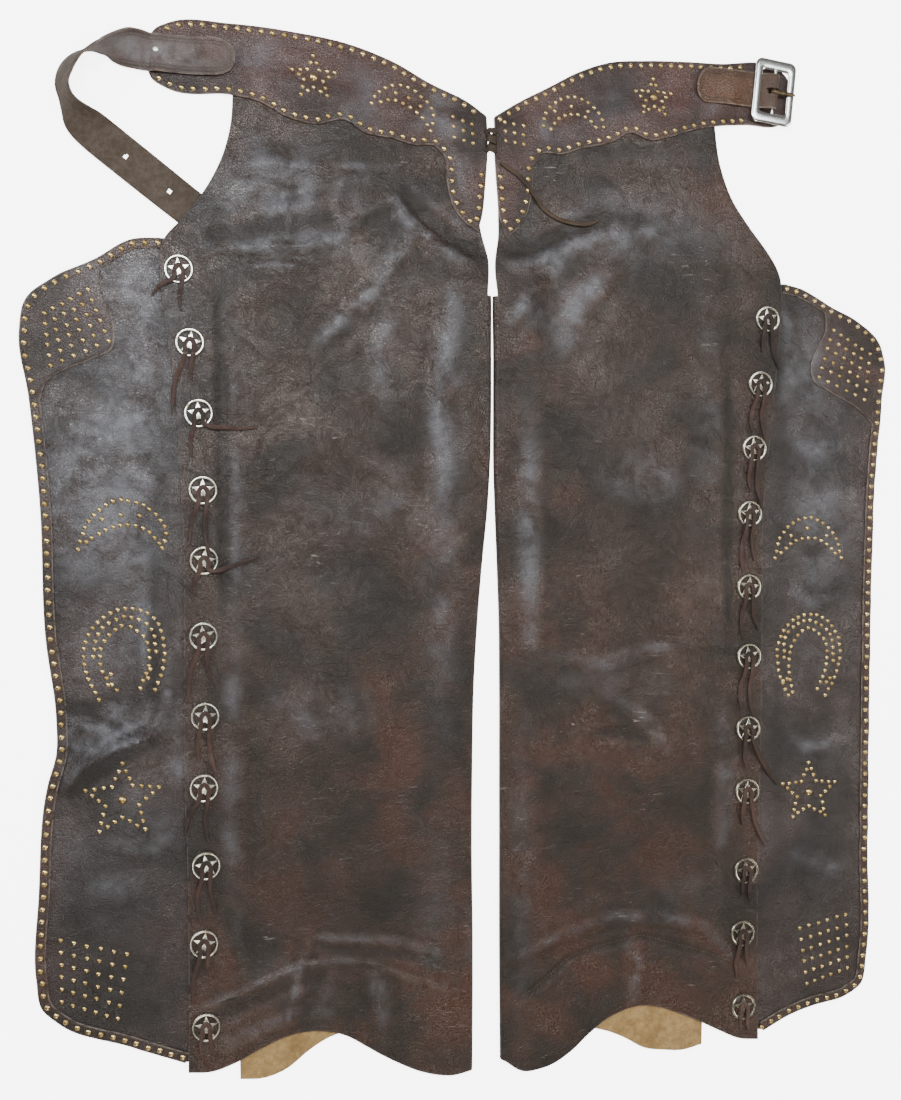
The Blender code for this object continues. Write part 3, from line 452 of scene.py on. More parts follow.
# Wing outline: hidden top edge round to the hidden bottom edge
WING_EDGE = {
    Side.LEFT: (
        (264, 250), (286, 274), (309, 298), (340, 295), (373, 275), (410, 256), (432, 237), (438, 206),
        (430, 150), (420, 50), (415, -70), (406, -140), (406, -174), (413, -200), (421, -300),
        (423, -376), (418, -402), (404, -416), (340, -443), (292, -462), (253, -458),
    ),
    Side.RIGHT: (
        (248, 240), (286, 266), (311, 286), (334, 281), (366, 265), (400, 249), (422, 231), (430, 208),
        (427, 170), (419, 90), (415, 0), (412, -140), (410, -300), (408, -415), (402, -443),
        (384, -454), (345, -462), (316, -471), (290, -483), (240, -466),
    ),
}
# Inner edge of the stud patch at each wing's upper corner
PATCH_EDGE = {
    Side.LEFT: (
        (367, 268), (366, 246), (359, 228), (355, 210), (357, 195), (373, 185), (398, 174), (414, 163),
        (420, 146),
    ),
    Side.RIGHT: (
        (360, 257), (361, 240), (350, 218), (344, 198), (347, 187), (366, 176), (398, 159), (411, 148),
    ),
}
# Yoke outline from the inner top corner outwards and back along the drop
YOKE_EDGE = {
    Side.LEFT: (
        (-4, 434), (-22, 446), (-59, 461), (-99, 480), (-139, 492), (-185, 498), (-250, 501),
        (-306, 497), (-320, 489), (-326, 468), (-322, 444), (-308, 436), (-250, 434), (-225, 430),
        (-197, 417), (-171, 413), (-143, 419), (-126, 409), (-98, 405), (-74, 400), (-57, 401),
        (-47, 391), (-44, 366), (-36, 340), (-25, 328), (-13, 321), (-9, 336), (-6, 362), (-3.5, 400),
    ),
    Side.RIGHT: (
        (3.5, 434), (28, 450), (60, 468), (92, 486), (124, 498), (163, 503), (240, 507), (305, 508),
        (317, 500), (321, 480), (320, 458), (310, 450), (270, 447), (236, 442), (207, 435), (185, 427),
        (166, 423), (146, 429), (125, 418), (92, 409), (72, 402), (52, 401), (45, 392), (42, 362),
        (34, 336), (25, 324), (15, 316), (9, 334), (6, 362), (3.5, 400),
    ),
}
# Billet strap: x, y, side tilt in degrees, width share, rest height
STRAP_ROUTE = (
    (-247, 467.5, 0, 0.3, 5.0), (-251, 467.5, 0, 0.68, 5.0), (-258, 467.5, 0, 0.92, 5.0),
    (-266, 467.5, 0, 1.0, 4.5), (-286, 467, 0, 1.0, 2.5), (-304, 467, 0, 1.0, 2.5),
    (-324, 467, 0, 1.0, 2.5), (-337, 467, 24, 1.0, 0.4), (-350, 465.5, 54, 1.0, 0.0),
    (-363, 463.5, 84, 1.0, 0.0), (-376, 460.5, 104, 1.0, 0.0), (-387, 454.5, 113, 1.0, 0.0),
    (-395, 445, 117, 1.0, 0.0), (-399, 433, 115, 1.0, 0.0), (-398.5, 420, 106, 1.0, 0.0),
    (-394, 408, 112, 1.0, 0.0), (-385, 397.5, 134, 1.0, 0.0), (-372, 388, 154, 1.0, 0.0),
    (-356, 376.5, 164, 1.0, 0.0), (-339, 364, 168, 1.0, 0.0), (-315, 346.5, 175, 1.0, 0.0),
    (-293, 330.5, 180, 1.0, 0.0), (-268, 312, 180, 1.0, 0.0),
)
# Concho centres: out and y, from the top down
CONCHO_AT = {
    Side.LEFT: (
        (298, 269), (288, 202), (280, 137), (276, 66), (275, 1), (275.5, -69), (274, -143),
        (275, -209), (273, -281), (275, -353), (273, -430),
    ),
    Side.RIGHT: (
        (294, 248), (286, 181), (279, 115), (274, 48), (273, -27), (273, -98), (272, -172),
        (271, -236), (270, -317), (266, -381), (267, -456),
    ),
}
# Thong ends from the concho's centre: left end x, y, right end x, y
THONG_ENDS = {
    Side.LEFT: (
        (-24, -24, 2, -38), (-16, -66, 2, -34), (-6, -40, 54, -12), (-12, -50, 6, -62),
        (-10, -30, 50, 4), (-14, -58, 8, -44), (-6, -40, 10, -54), (-18, -42, 4, -50),
        (-7, -48, 9, -44), (-10, -52, 6, -30), (-5, -22, 9, -26),
    ),
    Side.RIGHT: (
        (-6, -34, 13, -52), (-11, -50, 4, -58), (-5, -44, 8, -62), (-9, -60, 5, -48),
        (-8, -52, 10, -44), (-10, -54, 3, -60), (-2, -40, 34, -58), (-5, -34, 20, -56),
        (-5, -24, 4, -32), (-7, -44, 6, -34), (-4, -20, 5, -24),
    ),
}
# Free end of the centre lace
LACE_ROUTE = (
    (9.0, 388), (16, 384), (25, 379), (34, 371), (42, 361), (51, 350), (62, 341), (76, 336), (90, 334),
    (102, 335), (111, 339),
)

FOLD = 4.2
FOLD_ARC = 12.0
ROLL_WIDTH = 60.0
CROTCH = 258.0
BACK_TOP = 240.0
BACK_OUT = {Side.LEFT: (241.0, 255.0), Side.RIGHT: (222.0, 240.0)}
WING_CORNERS = {Side.LEFT: (2, 6, 15, 17), Side.RIGHT: (2, 6, 13, 15)}
BORDER = 9.5
STRAP_ZONE_OUT = 218.0
STRAP_LIFT = 3.3
STRAP_WIDTH = 35.0
RIVET_AT = (-318.5, 469.0)
SIDE_RIVET_AT = (293.0, 283.0)
BUCKLE_AT = (300.0, 481.0)
BUCKLE_TURN = math.radians(-6.0)
CONCHO_RADIUS = 13.5
CONCHO_RIM = 2.4
CONCHO = 1.8
THONG = 1.5
THONG_WIDTH = 4.6
THONG_TURN = 3.6
KNOT_SIZE = (12.0, 32.0, 4.5)
KNOT_AT = (0.0, 409.0)


def table_column(rows: Points, place: int) -> np.ndarray:
    """One column of a table of numbers."""
    return np.array([row[place] for row in rows], dtype=float)


def fold_ridges(rows: Points, out: np.ndarray, y: np.ndarray) -> np.ndarray:
    """Height of the solids' soft ridges: each falls away from its line as a bell curve, the highest counts."""
    height = np.zeros(np.shape(out))
    for out_a, y_a, out_b, y_b, half_width, top in rows:
        run = np.array([out_b - out_a, y_b - y_a], dtype=float)
        share = np.clip(((out - out_a) * run[0] + (y - y_a) * run[1]) / (run @ run), 0.0, 1.0)
        away = np.hypot(out - out_a - share * run[0], y - y_a - share * run[1])
        height = np.maximum(height, top * np.exp(-((away / half_width) ** 2)))
    return height


def leg_edges(side: Side, y: np.ndarray) -> tuple[np.ndarray, np.ndarray]:
    """How far out a leg's side edge and inside-leg edge lie at a height."""
    rows = LEG_EDGES[side]
    stations = table_column(rows, 0)
    return read_curve(stations, table_column(rows, 1), y), read_curve(stations, table_column(rows, 2), y)


def fold_reach(y: np.ndarray) -> np.ndarray:
    """Room that the rolled inside-leg fold takes, which ends at the crotch."""
    return FOLD * (1.0 - ease(CROTCH, CROTCH + 40.0, y))


def front_under(side: Side, out: np.ndarray, y: np.ndarray) -> np.ndarray:
    """Height of a front panel's underside: on its back and wing below, on the table above, with its folds."""
    inner = leg_edges(side, y)[1] + fold_reach(y)
    start = CROTCH + 6.0 + 42.0 * ease(70.0, 200.0, out)
    lay = LAY * (1.0 - ease(start, start + 46.0, y))
    roll = np.cos(np.clip((out - inner) / ROLL_WIDTH, 0.0, 1.0) * math.pi / 2) ** 2
    height = lay + (2 * FOLD - LEATHER - LAY) * roll * (1.0 - ease(CROTCH - 10.0, CROTCH + 50.0, y))
    flat = (1.0 - ease(225.0, 255.0, out)) * (1.0 - ease(345.0, 372.0, y))
    height = height + fold_ridges(FRONT_FOLDS[side], out, y) * flat
    if side is Side.LEFT:
        strap = ease(STRAP_ZONE_OUT - 30.0, STRAP_ZONE_OUT, out) * ease(222.0, 250.0, y)
        strap = strap * (1.0 - ease(366.0, 398.0, y))
        height = height + (STRAP_LIFT - np.minimum(lay, STRAP_LIFT)) * strap
    return height


def wing_under(side: Side, out: np.ndarray, y: np.ndarray) -> np.ndarray:
    """Height of a wing's underside: flat under the leg's edge, folded and swelling outside it."""
    return fold_ridges(WING_FOLDS[side], out, y) * ease(296.0, 322.0, out)


def leg_top(side: Side, out: np.ndarray) -> np.ndarray:
    """Height y of a leg's hidden top edge at a distance out."""
    outer, inner = leg_edges(side, np.array(440.0))
    share = np.clip((outer - out) / (outer - inner), 0.0, 1.0)
    return np.interp(share, table_column(LEG_TOP, 0), table_column(LEG_TOP, 1 if side is Side.LEFT else 2))


def yoke_under(side: Side, out: np.ndarray, y: np.ndarray) -> np.ndarray:
    """Height of a yoke's underside: on the leg where it covers it, on the table beyond."""
    above = 1.0 - ease(5.0, 26.0, y - leg_top(side, out))
    beside = 1.0 - ease(5.0, 30.0, out - leg_edges(side, np.array(440.0))[0])
    return LAY * above * beside


def rounded_loop(points: Points, corners: Sequence[int], step: float) -> np.ndarray:
    """Closed outline through its points: smooth between the sharp corners, in even steps."""
    points = np.asarray(points, dtype=float)
    count = len(points)
    line = []
    for place, first in enumerate(corners):
        last = corners[(place + 1) % len(corners)]
        last = last if last > first else last + count
        stretch = points[np.arange(first, last + 1) % count]
        if len(stretch) < 3:
            line.append(stretch[:1])
            continue
        along = lengths_along(stretch)
        pieces = max(2, round(along[-1] / step))
        at = np.linspace(0.0, along[-1], pieces + 1)[:-1]
        line.append(np.stack([read_curve(along, stretch[:, k], at) for k in (0, 1)], axis=1))
    return np.concatenate(line)


YOKE_LOOP = {
    Side.LEFT: rounded_loop(YOKE_EDGE[Side.LEFT], (0, 25), 14.0),
    Side.RIGHT: rounded_loop(YOKE_EDGE[Side.RIGHT], (0, 26), 14.0),
}


def surface_top(x: float, y: float) -> float:
    """Highest leather or concho under a place, as the solids' thongs find it."""
    side = Side.LEFT if x < 0 else Side.RIGHT
    out = abs(x)
    spot = np.array(out), np.array(y)
    height = float(wing_under(side, *spot)) + LEATHER
    if out < float(leg_edges(side, np.array(y))[0]) + 4.0:
        height = max(height, float(front_under(side, *spot)) + LEATHER)
    at = np.array([[x, y]])
    loop = YOKE_LOOP[side]
    if inside(loop, at)[0] or loop_distance(loop, at)[0] < 4.0:
        height = max(height, LAY + LEATHER)
    for place_out, place_y in CONCHO_AT[side]:
        if math.hypot(out - place_out, y - place_y) < CONCHO_RADIUS + 5.0:
            level = float(front_under(side, np.array(place_out), np.array(place_y)))
            height = max(height, level + LEATHER + SEAT + CONCHO)
    return height


def rest_path(route: np.ndarray, reach: float, thick: float) -> np.ndarray:
    """A strip's middle line over whatever lies within reach of each place of its plan route."""
    heights = []
    for x, y in route:
        spots = [(x + dx, y + dy) for dx in (-reach, 0, reach) for dy in (-reach, 0, reach)]
        heights.append(max(surface_top(*spot) for spot in spots) + SEAT + thick / 2 + 0.15)
    return np.column_stack([route, heights])


# ---- camera, light and floor ----


@dataclass(frozen=True)
class Studio:
    """Camera at the photograph's view, a pale floor and soft lights. Metres."""

    camera_at: tuple[float, float, float] = (-0.32517, 0.0033, 1.20574)
    camera_tilt: float = math.radians(-13.5)
    lens: float = 41.83
    sensor: float = 36.0
    floor: float = 6.0
    lights: tuple[tuple[tuple[float, float, float], float, float, tuple[float, float, float]], ...] = (
        ((-0.42, 0.80, 2.2), 1.05, 52.0, (0.86, 0.93, 1.0)),
        ((0.85, 0.95, 2.2), 0.9, 18.0, (0.88, 0.95, 1.0)),
        ((-0.35, -0.75, 2.3), 0.6, 5.0, (0.95, 0.97, 1.0)),
        ((-2.4, 1.4, 1.5), 1.6, 60.0, (0.96, 0.98, 1.0)),
        ((2.6, -0.2, 1.9), 1.8, 44.0, (1.0, 0.93, 0.86)),
        ((0.2, -2.7, 1.8), 1.8, 38.0, (1.0, 0.89, 0.77)),
    )

    def place_camera(self) -> None:
        """Set the camera that looks down on the chaps, leaning to the right."""
        data = bpy.data.cameras.new("view")
        data.lens = self.lens
        data.sensor_width = self.sensor
        camera = bpy.data.objects.new("view", data)
        camera.location = self.camera_at
        camera.rotation_euler = (0.0, self.camera_tilt, 0.0)
        bpy.context.collection.objects.link(camera)
        bpy.context.scene.camera = camera

    def place_lights(self) -> None:
        """Hang the soft lights, each turned to the middle of the chaps, and set the room's even light."""
        for number, (place, size, power, colour) in enumerate(self.lights):
            data = bpy.data.lights.new(f"soft_{number}", "AREA")
            data.shape = "DISK"
            data.size = size
            data.energy = power
            data.color = colour
            lamp = bpy.data.objects.new(f"soft_{number}", data)
            lamp.location = place
            x, y, z = place
            lamp.rotation_euler = (0.0, math.atan2(math.hypot(x, y), z), math.atan2(y, x))
            bpy.context.collection.objects.link(lamp)
        world = bpy.data.worlds.new("room")
        world.use_nodes = True
        world.node_tree.nodes["Background"].inputs["Color"].default_value = (1.0, 0.94, 0.87, 1.0)
        world.node_tree.nodes["Background"].inputs["Strength"].default_value = 0.17
        bpy.context.scene.world = world

    def lay_floor(self) -> None:
        """Lay the pale floor just under the leather."""
        half = self.floor / 2
        mesh = bpy.data.meshes.new("floor")
        corners = [(-half, -half, -0.0004), (half, -half, -0.0004), (half, half, -0.0004), (-half, half, -0.0004)]
        mesh.from_pydata(corners, [], [(0, 1, 2, 3)])
        floor = bpy.data.objects.new("floor", mesh)
        bpy.context.collection.objects.link(floor)
        paint = bpy.data.materials.new("pale paper")
        paint.use_nodes = True
        shader = paint.node_tree.nodes["Principled BSDF"]
        shader.inputs["Base Color"].default_value = (0.93, 0.93, 0.93, 1.0)
        shader.inputs["Roughness"].default_value = 0.9
        shader.inputs["Emission Color"].default_value = (1.0, 1.0, 1.0, 1.0)
        nodes, links = paint.node_tree.nodes, paint.node_tree.links
        seen = nodes.new("ShaderNodeMath")
        seen.operation = "MULTIPLY_ADD"
        seen.inputs[1].default_value, seen.inputs[2].default_value = 5.0, 0.35
        links.new(nodes.new("ShaderNodeLightPath").outputs["Is Camera Ray"], seen.inputs[0])
        links.new(seen.outputs[0], shader.inputs["Emission Strength"])
        shader.inputs["Specular IOR Level"].default_value = 0.1
        mesh.materials.append(paint)

    def build(self) -> None:
        """Make the whole studio."""
        self.place_camera()
        self.place_lights()
        self.lay_floor()


# ---- leather pieces ----

LEG_CREASES = {
    Side.LEFT: (
        Crease(((267, 289), (223, 294), (186, 297), (157, 305), (127, 320)), 5.0, 1.6, 0.5),
        Crease(((278, 303), (233, 309), (186, 318), (143, 333)), 6.0, -1.2, 0.3),
        Crease(((249, 366), (221, 374), (186, 373), (138, 377), (90, 380)), 4.0, 0.8, 0.4),
        Crease(((214, 331), (186, 338), (155, 346)), 3.5, 0.8, 0.3),
        Crease(((157, 303), (117, 325), (90, 343)), 5.0, -1.0, -0.5),
        Crease(((255, 352), (224, 354), (196, 348), (170, 352)), 3.0, 0.6, 0.4),
        Crease(((240, 320), (206, 322), (170, 330)), 3.2, -0.6, 0.4),
        Crease(((238, 276), (206, 280), (176, 276)), 4.0, 0.7, 0.5),
        Crease(((192, 372), (200, 346), (196, 318), (204, 296)), 4.0, 0.6, 0.4),
        Crease(((142, 372), (150, 344), (146, 318)), 4.5, 0.7, 0.4),
        Crease(((96, 240), (110, 200), (104, 150)), 8.0, 0.8, 0.3),
        Crease(((60, 96), (92, 84), (128, 96)), 8.0, 0.6, 0.3),
        Crease(((66, 328), (95, 291), (119, 255), (153, 220), (174, 198)), 7.0, 1.5, 0.6),
        Crease(((76, 318), (104, 284), (128, 248)), 4.0, -0.9, 0.2),
        Crease(((90, 362), (72, 337), (45, 317), (20, 306), (6, 304)), 7.0, -1.5, 0.5),
        Crease(((96, 352), (78, 326), (50, 304), (16, 292)), 8.0, 1.6, 0.4),
        Crease(((32, 273), (44, 215), (52, 137), (50, 40)), 9.0, 1.3, 0.3),
        Crease(((262, 243), (259, 188), (257, 113), (256, 39), (256, -54)), 5.0, -0.9, 0.3),
        Crease(((250, -80), (246, -170), (250, -260), (244, -360)), 9.0, 0.9, 0.3),
        Crease(((200, 60), (150, 40), (96, 52), (60, 36)), 22.0, 0.7),
        Crease(((230, -120), (170, -150), (110, -138)), 26.0, 0.7),
        Crease(((294, -420), (262, -407), (235, -397), (184, -379), (148, -377), (114, -384), (75, -401),
                (25, -418)), 2.6, 1.0, 0.2),
        Crease(((286, -428), (250, -416), (214, -402), (186, -393), (164, -390)), 6.0, -1.1, 0.3),
        Crease(((280, -452), (250, -446), (214, -432), (184, -424), (150, -426)), 5.0, 0.9, 0.3),
        Crease(((173, -354), (138, -358), (90, -364), (60, -374), (48, -382)), 3.4, 1.2, 0.3),
        Crease(((166, -364), (132, -368), (96, -374), (66, -384)), 4.0, -1.1, 0.3),
        Crease(((174, -350), (184, -376), (190, -400), (198, -432)), 4.0, 1.0, 0.4),
        Crease(((164, -384), (172, -404), (182, -430)), 5.5, -1.1, 0.4),
        Crease(((120, -384), (108, -420), (104, -448)), 7.0, 1.1, 0.2),
    ),
    Side.RIGHT: (
        Crease(((7, 307), (41, 306), (77, 326), (124, 343), (178, 342)), 7.0, -1.2, 0.4),
        Crease(((16, 292), (46, 292), (82, 310), (128, 328)), 7.0, 1.2, 0.3),
        Crease(((16, 227), (41, 261), (78, 297)), 6.0, 1.4, 0.5),
        Crease(((135, 300), (88, 259), (68, 199)), 10.0, 1.2, 0.3),
        Crease(((56, -93), (114, -104), (167, -90), (213, -80)), 6.0, 0.8, 0.4),
        Crease(((98, -173), (135, -171), (169, -183)), 5.0, -0.7, 0.3),
        Crease(((114, -129), (156, -155), (189, -202)), 6.0, 0.8, 0.5),
        Crease(((246, 230), (252, 130), (248, 20), (250, -90)), 6.0, -0.9, 0.3),
        Crease(((242, -140), (246, -230), (240, -330)), 9.0, 0.8, 0.3),
        Crease(((40, 120), (34, 20), (38, -90)), 10.0, 1.0, 0.3),
        Crease(((200, 90), (160, 76), (110, 86)), 20.0, 0.7),
        Crease(((16, -433), (46, -418), (82, -391), (114, -383), (156, -376), (211, -393), (260, -412)),
               3.2, -0.8, 0.2),
        Crease(((16, -390), (72, -370), (125, -356), (178, -358), (222, -371), (259, -409)), 5.0, 0.9, 0.4),
        Crease(((140, -372), (150, -410), (146, -444)), 7.0, 1.0, 0.2),
    ),
}
WING_CREASES = {
    Side.LEFT: (
        Crease(((314, -166), (334, -172), (356, -180), (378, -196), (396, -216)), 5.0, -1.7, 0.5),
        Crease(((306, -96), (308, -130), (314, -150), (330, -162), (356, -169), (380, -184), (404, -208)),
               3.2, 1.9, 0.4),
        Crease(((328, -146), (350, -156), (374, -172), (394, -190)), 2.6, 1.3, 0.4),
        Crease(((336, -138), (352, -150), (370, -146), (396, -136)), 4.0, -1.3, 0.5),
        Crease(((322, -60), (318, -100), (324, -130)), 5.0, -1.3, 0.5),
        Crease(((404, -165), (385, -150), (357, -140), (324, -143)), 7.0, 1.3, 0.4),
        Crease(((403, -129), (377, -134), (352, -146)), 5.0, -0.9, 0.3),
        Crease(((398, 120), (372, 113), (352, 100)), 5.0, 0.9, 0.3),
        Crease(((394, 74), (359, 84), (324, 75), (310, 52)), 6.0, 0.8, 0.4),
        Crease(((330, 240), (326, 190), (334, 140)), 8.0, 0.9, 0.3),
        Crease(((318, -290), (350, -300), (384, -292)), 8.0, 0.8, 0.3),
        Crease(((322, -20), (326, -70), (318, -110)), 6.0, 0.9, 0.5),
    ),
    Side.RIGHT: (
        Crease(((316, 262), (322, 210), (314, 160)), 7.0, 0.9, 0.3),
        Crease(((322, 120), (352, 112), (384, 120)), 7.0, 0.8, 0.3),
        Crease(((318, -30), (340, -44), (376, -38)), 6.0, 0.7, 0.3),
        Crease(((312, -180), (344, -196), (384, -186)), 6.0, 0.8, 0.4),
        Crease(((318, -300), (346, -312), (384, -330)), 7.0, 0.8, 0.3),
    ),
}
YOKE_CREASES = {
    Side.LEFT: (
        Crease(((58, 444), (66, 424), (80, 408)), 6.0, 0.7, 0.3),
        Crease(((220, 486), (228, 462), (224, 440)), 8.0, 0.6, 0.2),
        Crease(((36, 430), (32, 400), (28, 360)), 8.0, 0.5, 0.2),
    ),
    Side.RIGHT: (
        Crease(((40, 446), (52, 430), (56, 410)), 6.0, 0.6, 0.3),
        Crease(((226, 494), (232, 470), (226, 450)), 8.0, 0.6, 0.2),
    ),
}


def thong_room(side: Side, out: np.ndarray, y: np.ndarray) -> np.ndarray:
    """Share of a leather's rise that may stand: none under a concho or thong, all of it a little way off."""
    room = np.ones(np.shape(out))
    near = (out > 205.0) & (out < 352.0)
    x, high = side.value * out[near], y[near]
    share = np.ones(np.shape(x))
    for number, (place_out, place_y) in enumerate(CONCHO_AT[side]):
        route = thong_route(side, number)
        away = np.abs(line_distance(route[::2], x, high)[0])
        share = np.minimum(share, ease(4.5, 13.0, away))
        share = np.minimum(share, ease(14.0, 22.0, np.hypot(out[near] - place_out, high - place_y)))
    room[near] = share
    return room


def worn_edge(away: np.ndarray, reach: float = 1.7) -> np.ndarray:
    """Share of edge wear at a distance from a cut edge: 1 at the edge, falling away."""
    return np.exp(-np.asarray(away) / reach)


def eased_edge(away: np.ndarray, drop: float = 0.6) -> np.ndarray:
    """How far a cut edge is rubbed down at a distance from it."""
    return drop * np.exp(-np.asarray(away) / 0.8)


@dataclass
class Leg:
    """One leg from a single cut: front panel, inside-leg fold and the narrower back panel under it."""

    side: Side
    step: float = 3.0
    back_step: float = 8.0
    fold_lines: int = 10
    waviness: float = 0.5

    def front_relief(self, out: np.ndarray, y: np.ndarray) -> np.ndarray:
        """Fine creases and unevenness of the front panel, which die out under the yoke and at the side."""
        seed = 11 if self.side is Side.LEFT else 23
        free = (1.0 - ease(372.0, 396.0, y)) * (1.0 - 0.7 * ease(262.0, 280.0, out))
        fine = self.waviness * soft_noise(out, y, 62.0, seed) + 0.22 * soft_noise(out, y, 17.0, seed + 1)
        rise = (relief(LEG_CREASES[self.side], out, y) + fine) * free
        rise = np.where(rise > 0.0, rise * thong_room(self.side, out, y), rise)
        if self.side is Side.RIGHT:
            lace = np.abs(line_distance([row[:2] for row in LACE_ROUTE], out, y)[0])
            rise = np.where(rise > 0.0, rise * ease(4.5, 13.0, lace), rise)
        return np.where(rise < 0.0, -1.25 * np.tanh(-rise / 1.25), rise)

    def front_top(self, out: np.ndarray, y: np.ndarray) -> np.ndarray:
        """Height of the front panel's grain side."""
        return front_under(self.side, out, y) + LEATHER + self.front_relief(out, y)

    def hem(self, rows: Points, share: np.ndarray) -> np.ndarray:
        """Height y of a hem at shares of its panel's width."""
        return read_curve(table_column(rows, 0), table_column(rows, 1 if self.side is Side.LEFT else 2), share)

    def columns(self) -> tuple[np.ndarray, np.ndarray, np.ndarray]:
        """Column places: back shares, fold turns and front shares, from the back's edge to the side edge."""
        back = 1.0 - spread(234.0, self.back_step)[:-1]
        turn = np.linspace(1.0, 0.0, self.fold_lines + 1)[:-1]
        front = 1.0 - spread(280.0, self.step)
        return back, turn, front

    def front_grid(self, share: np.ndarray, y: np.ndarray) -> tuple[np.ndarray, np.ndarray, np.ndarray]:
        """Front panel places: out = inner edge + fold + (1 - share) of the width there.

        Args:
            share: Share of the width from the side edge at each place.
            y: Height at each place.

        Returns:
            The out distance, the grain side's height and the flesh side's height.
        """
        outer, inner = leg_edges(self.side, y)
        start = inner + fold_reach(y)
        out = start + (1.0 - share) * (outer - start)
        under = front_under(self.side, out, y)
        rise = self.front_relief(out, y)
        return out, under + LEATHER + rise, under + np.maximum(rise, 0.0) * 0.85

    def build(self) -> bpy.types.Object:
        """Make the leg's leather: grain and flesh sheets on one grid of rows up and columns across."""
        back, turn, front = self.columns()
        rows = int(740.0 / self.step)
        up = np.concatenate([[0.0, 0.9 / 740.0, 2.2 / 740.0], np.linspace(5.0 / 740.0, 1.0, rows)])[:, None]
        low_front = self.hem(FRONT_HEM, front)
        y_front = low_front + up * (CROTCH - low_front)
        top_rows = np.linspace(0.0, 1.0, int(160.0 / self.step))[1:, None]
        top = read_curve(table_column(LEG_TOP, 0), table_column(LEG_TOP, 1 if self.side is Side.LEFT else 2), front)
        y_top = CROTCH + top_rows * (top - CROTCH)
        low_back = self.hem(BACK_HEM, back)
        high_back = CROTCH + back * (BACK_TOP - CROTCH)
        y_back = low_back + up * (high_back - low_back)
        low_fold = low_front[0] + turn * (self.hem(BACK_HEM, np.array(0.0)) - low_front[0])
        y_fold = low_fold + up * (CROTCH - low_fold)
        back_low, back_high = BACK_OUT[self.side]
        out_edge = back_low + (back_high - back_low) * (y_back + 500.0) / (500.0 + BACK_TOP)
        inner = leg_edges(self.side, y_back)[1] + FOLD
        out_back = inner + back * (out_edge - inner)
        sheets = []
        y_all = np.concatenate([y_back, y_fold, y_front], axis=1)
        y_high = np.concatenate([np.zeros((len(top_rows), len(back) + len(turn))), y_top], axis=1)
        front_share = np.broadcast_to(front, y_front.shape)
        low_parts = self.front_grid(front_share, y_front)
        high_parts = self.front_grid(np.broadcast_to(front, y_top.shape), y_top)
        blank = np.zeros((len(top_rows), len(back) + len(turn)))
        fold_in = leg_edges(self.side, y_fold)[1]
        away = np.minimum(front_share * 0.0 + (1.0 - front) * 0.0 + 1e3, 1e3)
        away = np.minimum((1.0 - (1.0 - front)) * 280.0, up * 740.0) + away * 0.0
        away_back = np.minimum((1.0 - back) * 234.0, up * 740.0)
        away_fold = np.broadcast_to(up * 740.0, y_fold.shape)
        away_high = np.broadcast_to(front * 280.0, y_top.shape)
        edge = np.concatenate([away_back, away_fold, away], axis=1)
        edge_high = np.concatenate([blank + 99.0, away_high], axis=1)
        for radius, back_z, pick in ((FOLD, 0.0, 1), (FOLD - LEATHER, LEATHER, 2)):
            out_fold = fold_in + FOLD - radius * np.sin(turn * math.pi)
            z_fold = FOLD + radius * np.cos(turn * math.pi) + 0.0 * y_fold
            join = front_under(self.side, fold_in + FOLD, y_fold) + (LEATHER if pick == 1 else 0.0)
            z_fold = z_fold + (low_parts[pick][:, :1] - join) * (1.0 - turn) ** 2
            low = np.stack([np.concatenate([out_back, out_fold, low_parts[0]], axis=1), y_all,
                            np.concatenate([out_back * 0.0 + back_z, z_fold, low_parts[pick]], axis=1)], axis=-1)
            high = np.stack([np.concatenate([blank, high_parts[0]], axis=1), y_high,
                             np.concatenate([blank, high_parts[pick]], axis=1)], axis=-1)
            sheet = np.concatenate([low, high])
            sheet[..., 0] *= self.side.value
            sheets.append(sheet)
        edge = np.concatenate([edge, edge_high])
        grain, flesh = sheets
        on_front = np.concatenate([np.zeros(len(back)), np.ones(len(turn) + len(front))])
        grain[..., 2] = np.maximum(grain[..., 2] - eased_edge(edge) * on_front, 0.0)
        flesh[..., 2] += eased_edge(edge, 0.25) * on_front
        keep = np.ones((grain.shape[0] - 1, grain.shape[1] - 1), dtype=bool)
        keep[len(up) - 1:, :len(back) + len(turn)] = False
        panel = np.concatenate([np.ones(len(back)), np.zeros(len(turn) + len(front))])
        marks = {"edge": worn_edge(edge), "back": np.broadcast_to(panel, edge.shape)}
        return make_wall("leg_skin_" + self.side.word, grain, flesh, marks, keep)


def coons(low: np.ndarray, high: np.ndarray, left: np.ndarray, right: np.ndarray, u: np.ndarray,
          v: np.ndarray) -> np.ndarray:
    """Grid between four edges: the two ruled surfaces between facing edges, less their corners' mean plane.

    Args:
        low: Places along the low edge, one per u.
        high: Places along the high edge.
        left: Places along the left edge, one per v.
        right: Places along the right edge.
        u: Shares across.
        v: Shares up.

    Returns:
        Places, v by u by two.
    """
    a, b = u[None, :, None], v[:, None, None]
    ruled = (1 - a) * left[:, None] + a * right[:, None] + (1 - b) * low[None] + b * high[None]
    corners = ((1 - a) * (1 - b) * low[0] + a * (1 - b) * low[-1] + (1 - a) * b * high[0] + a * b * high[-1])
    return ruled - corners


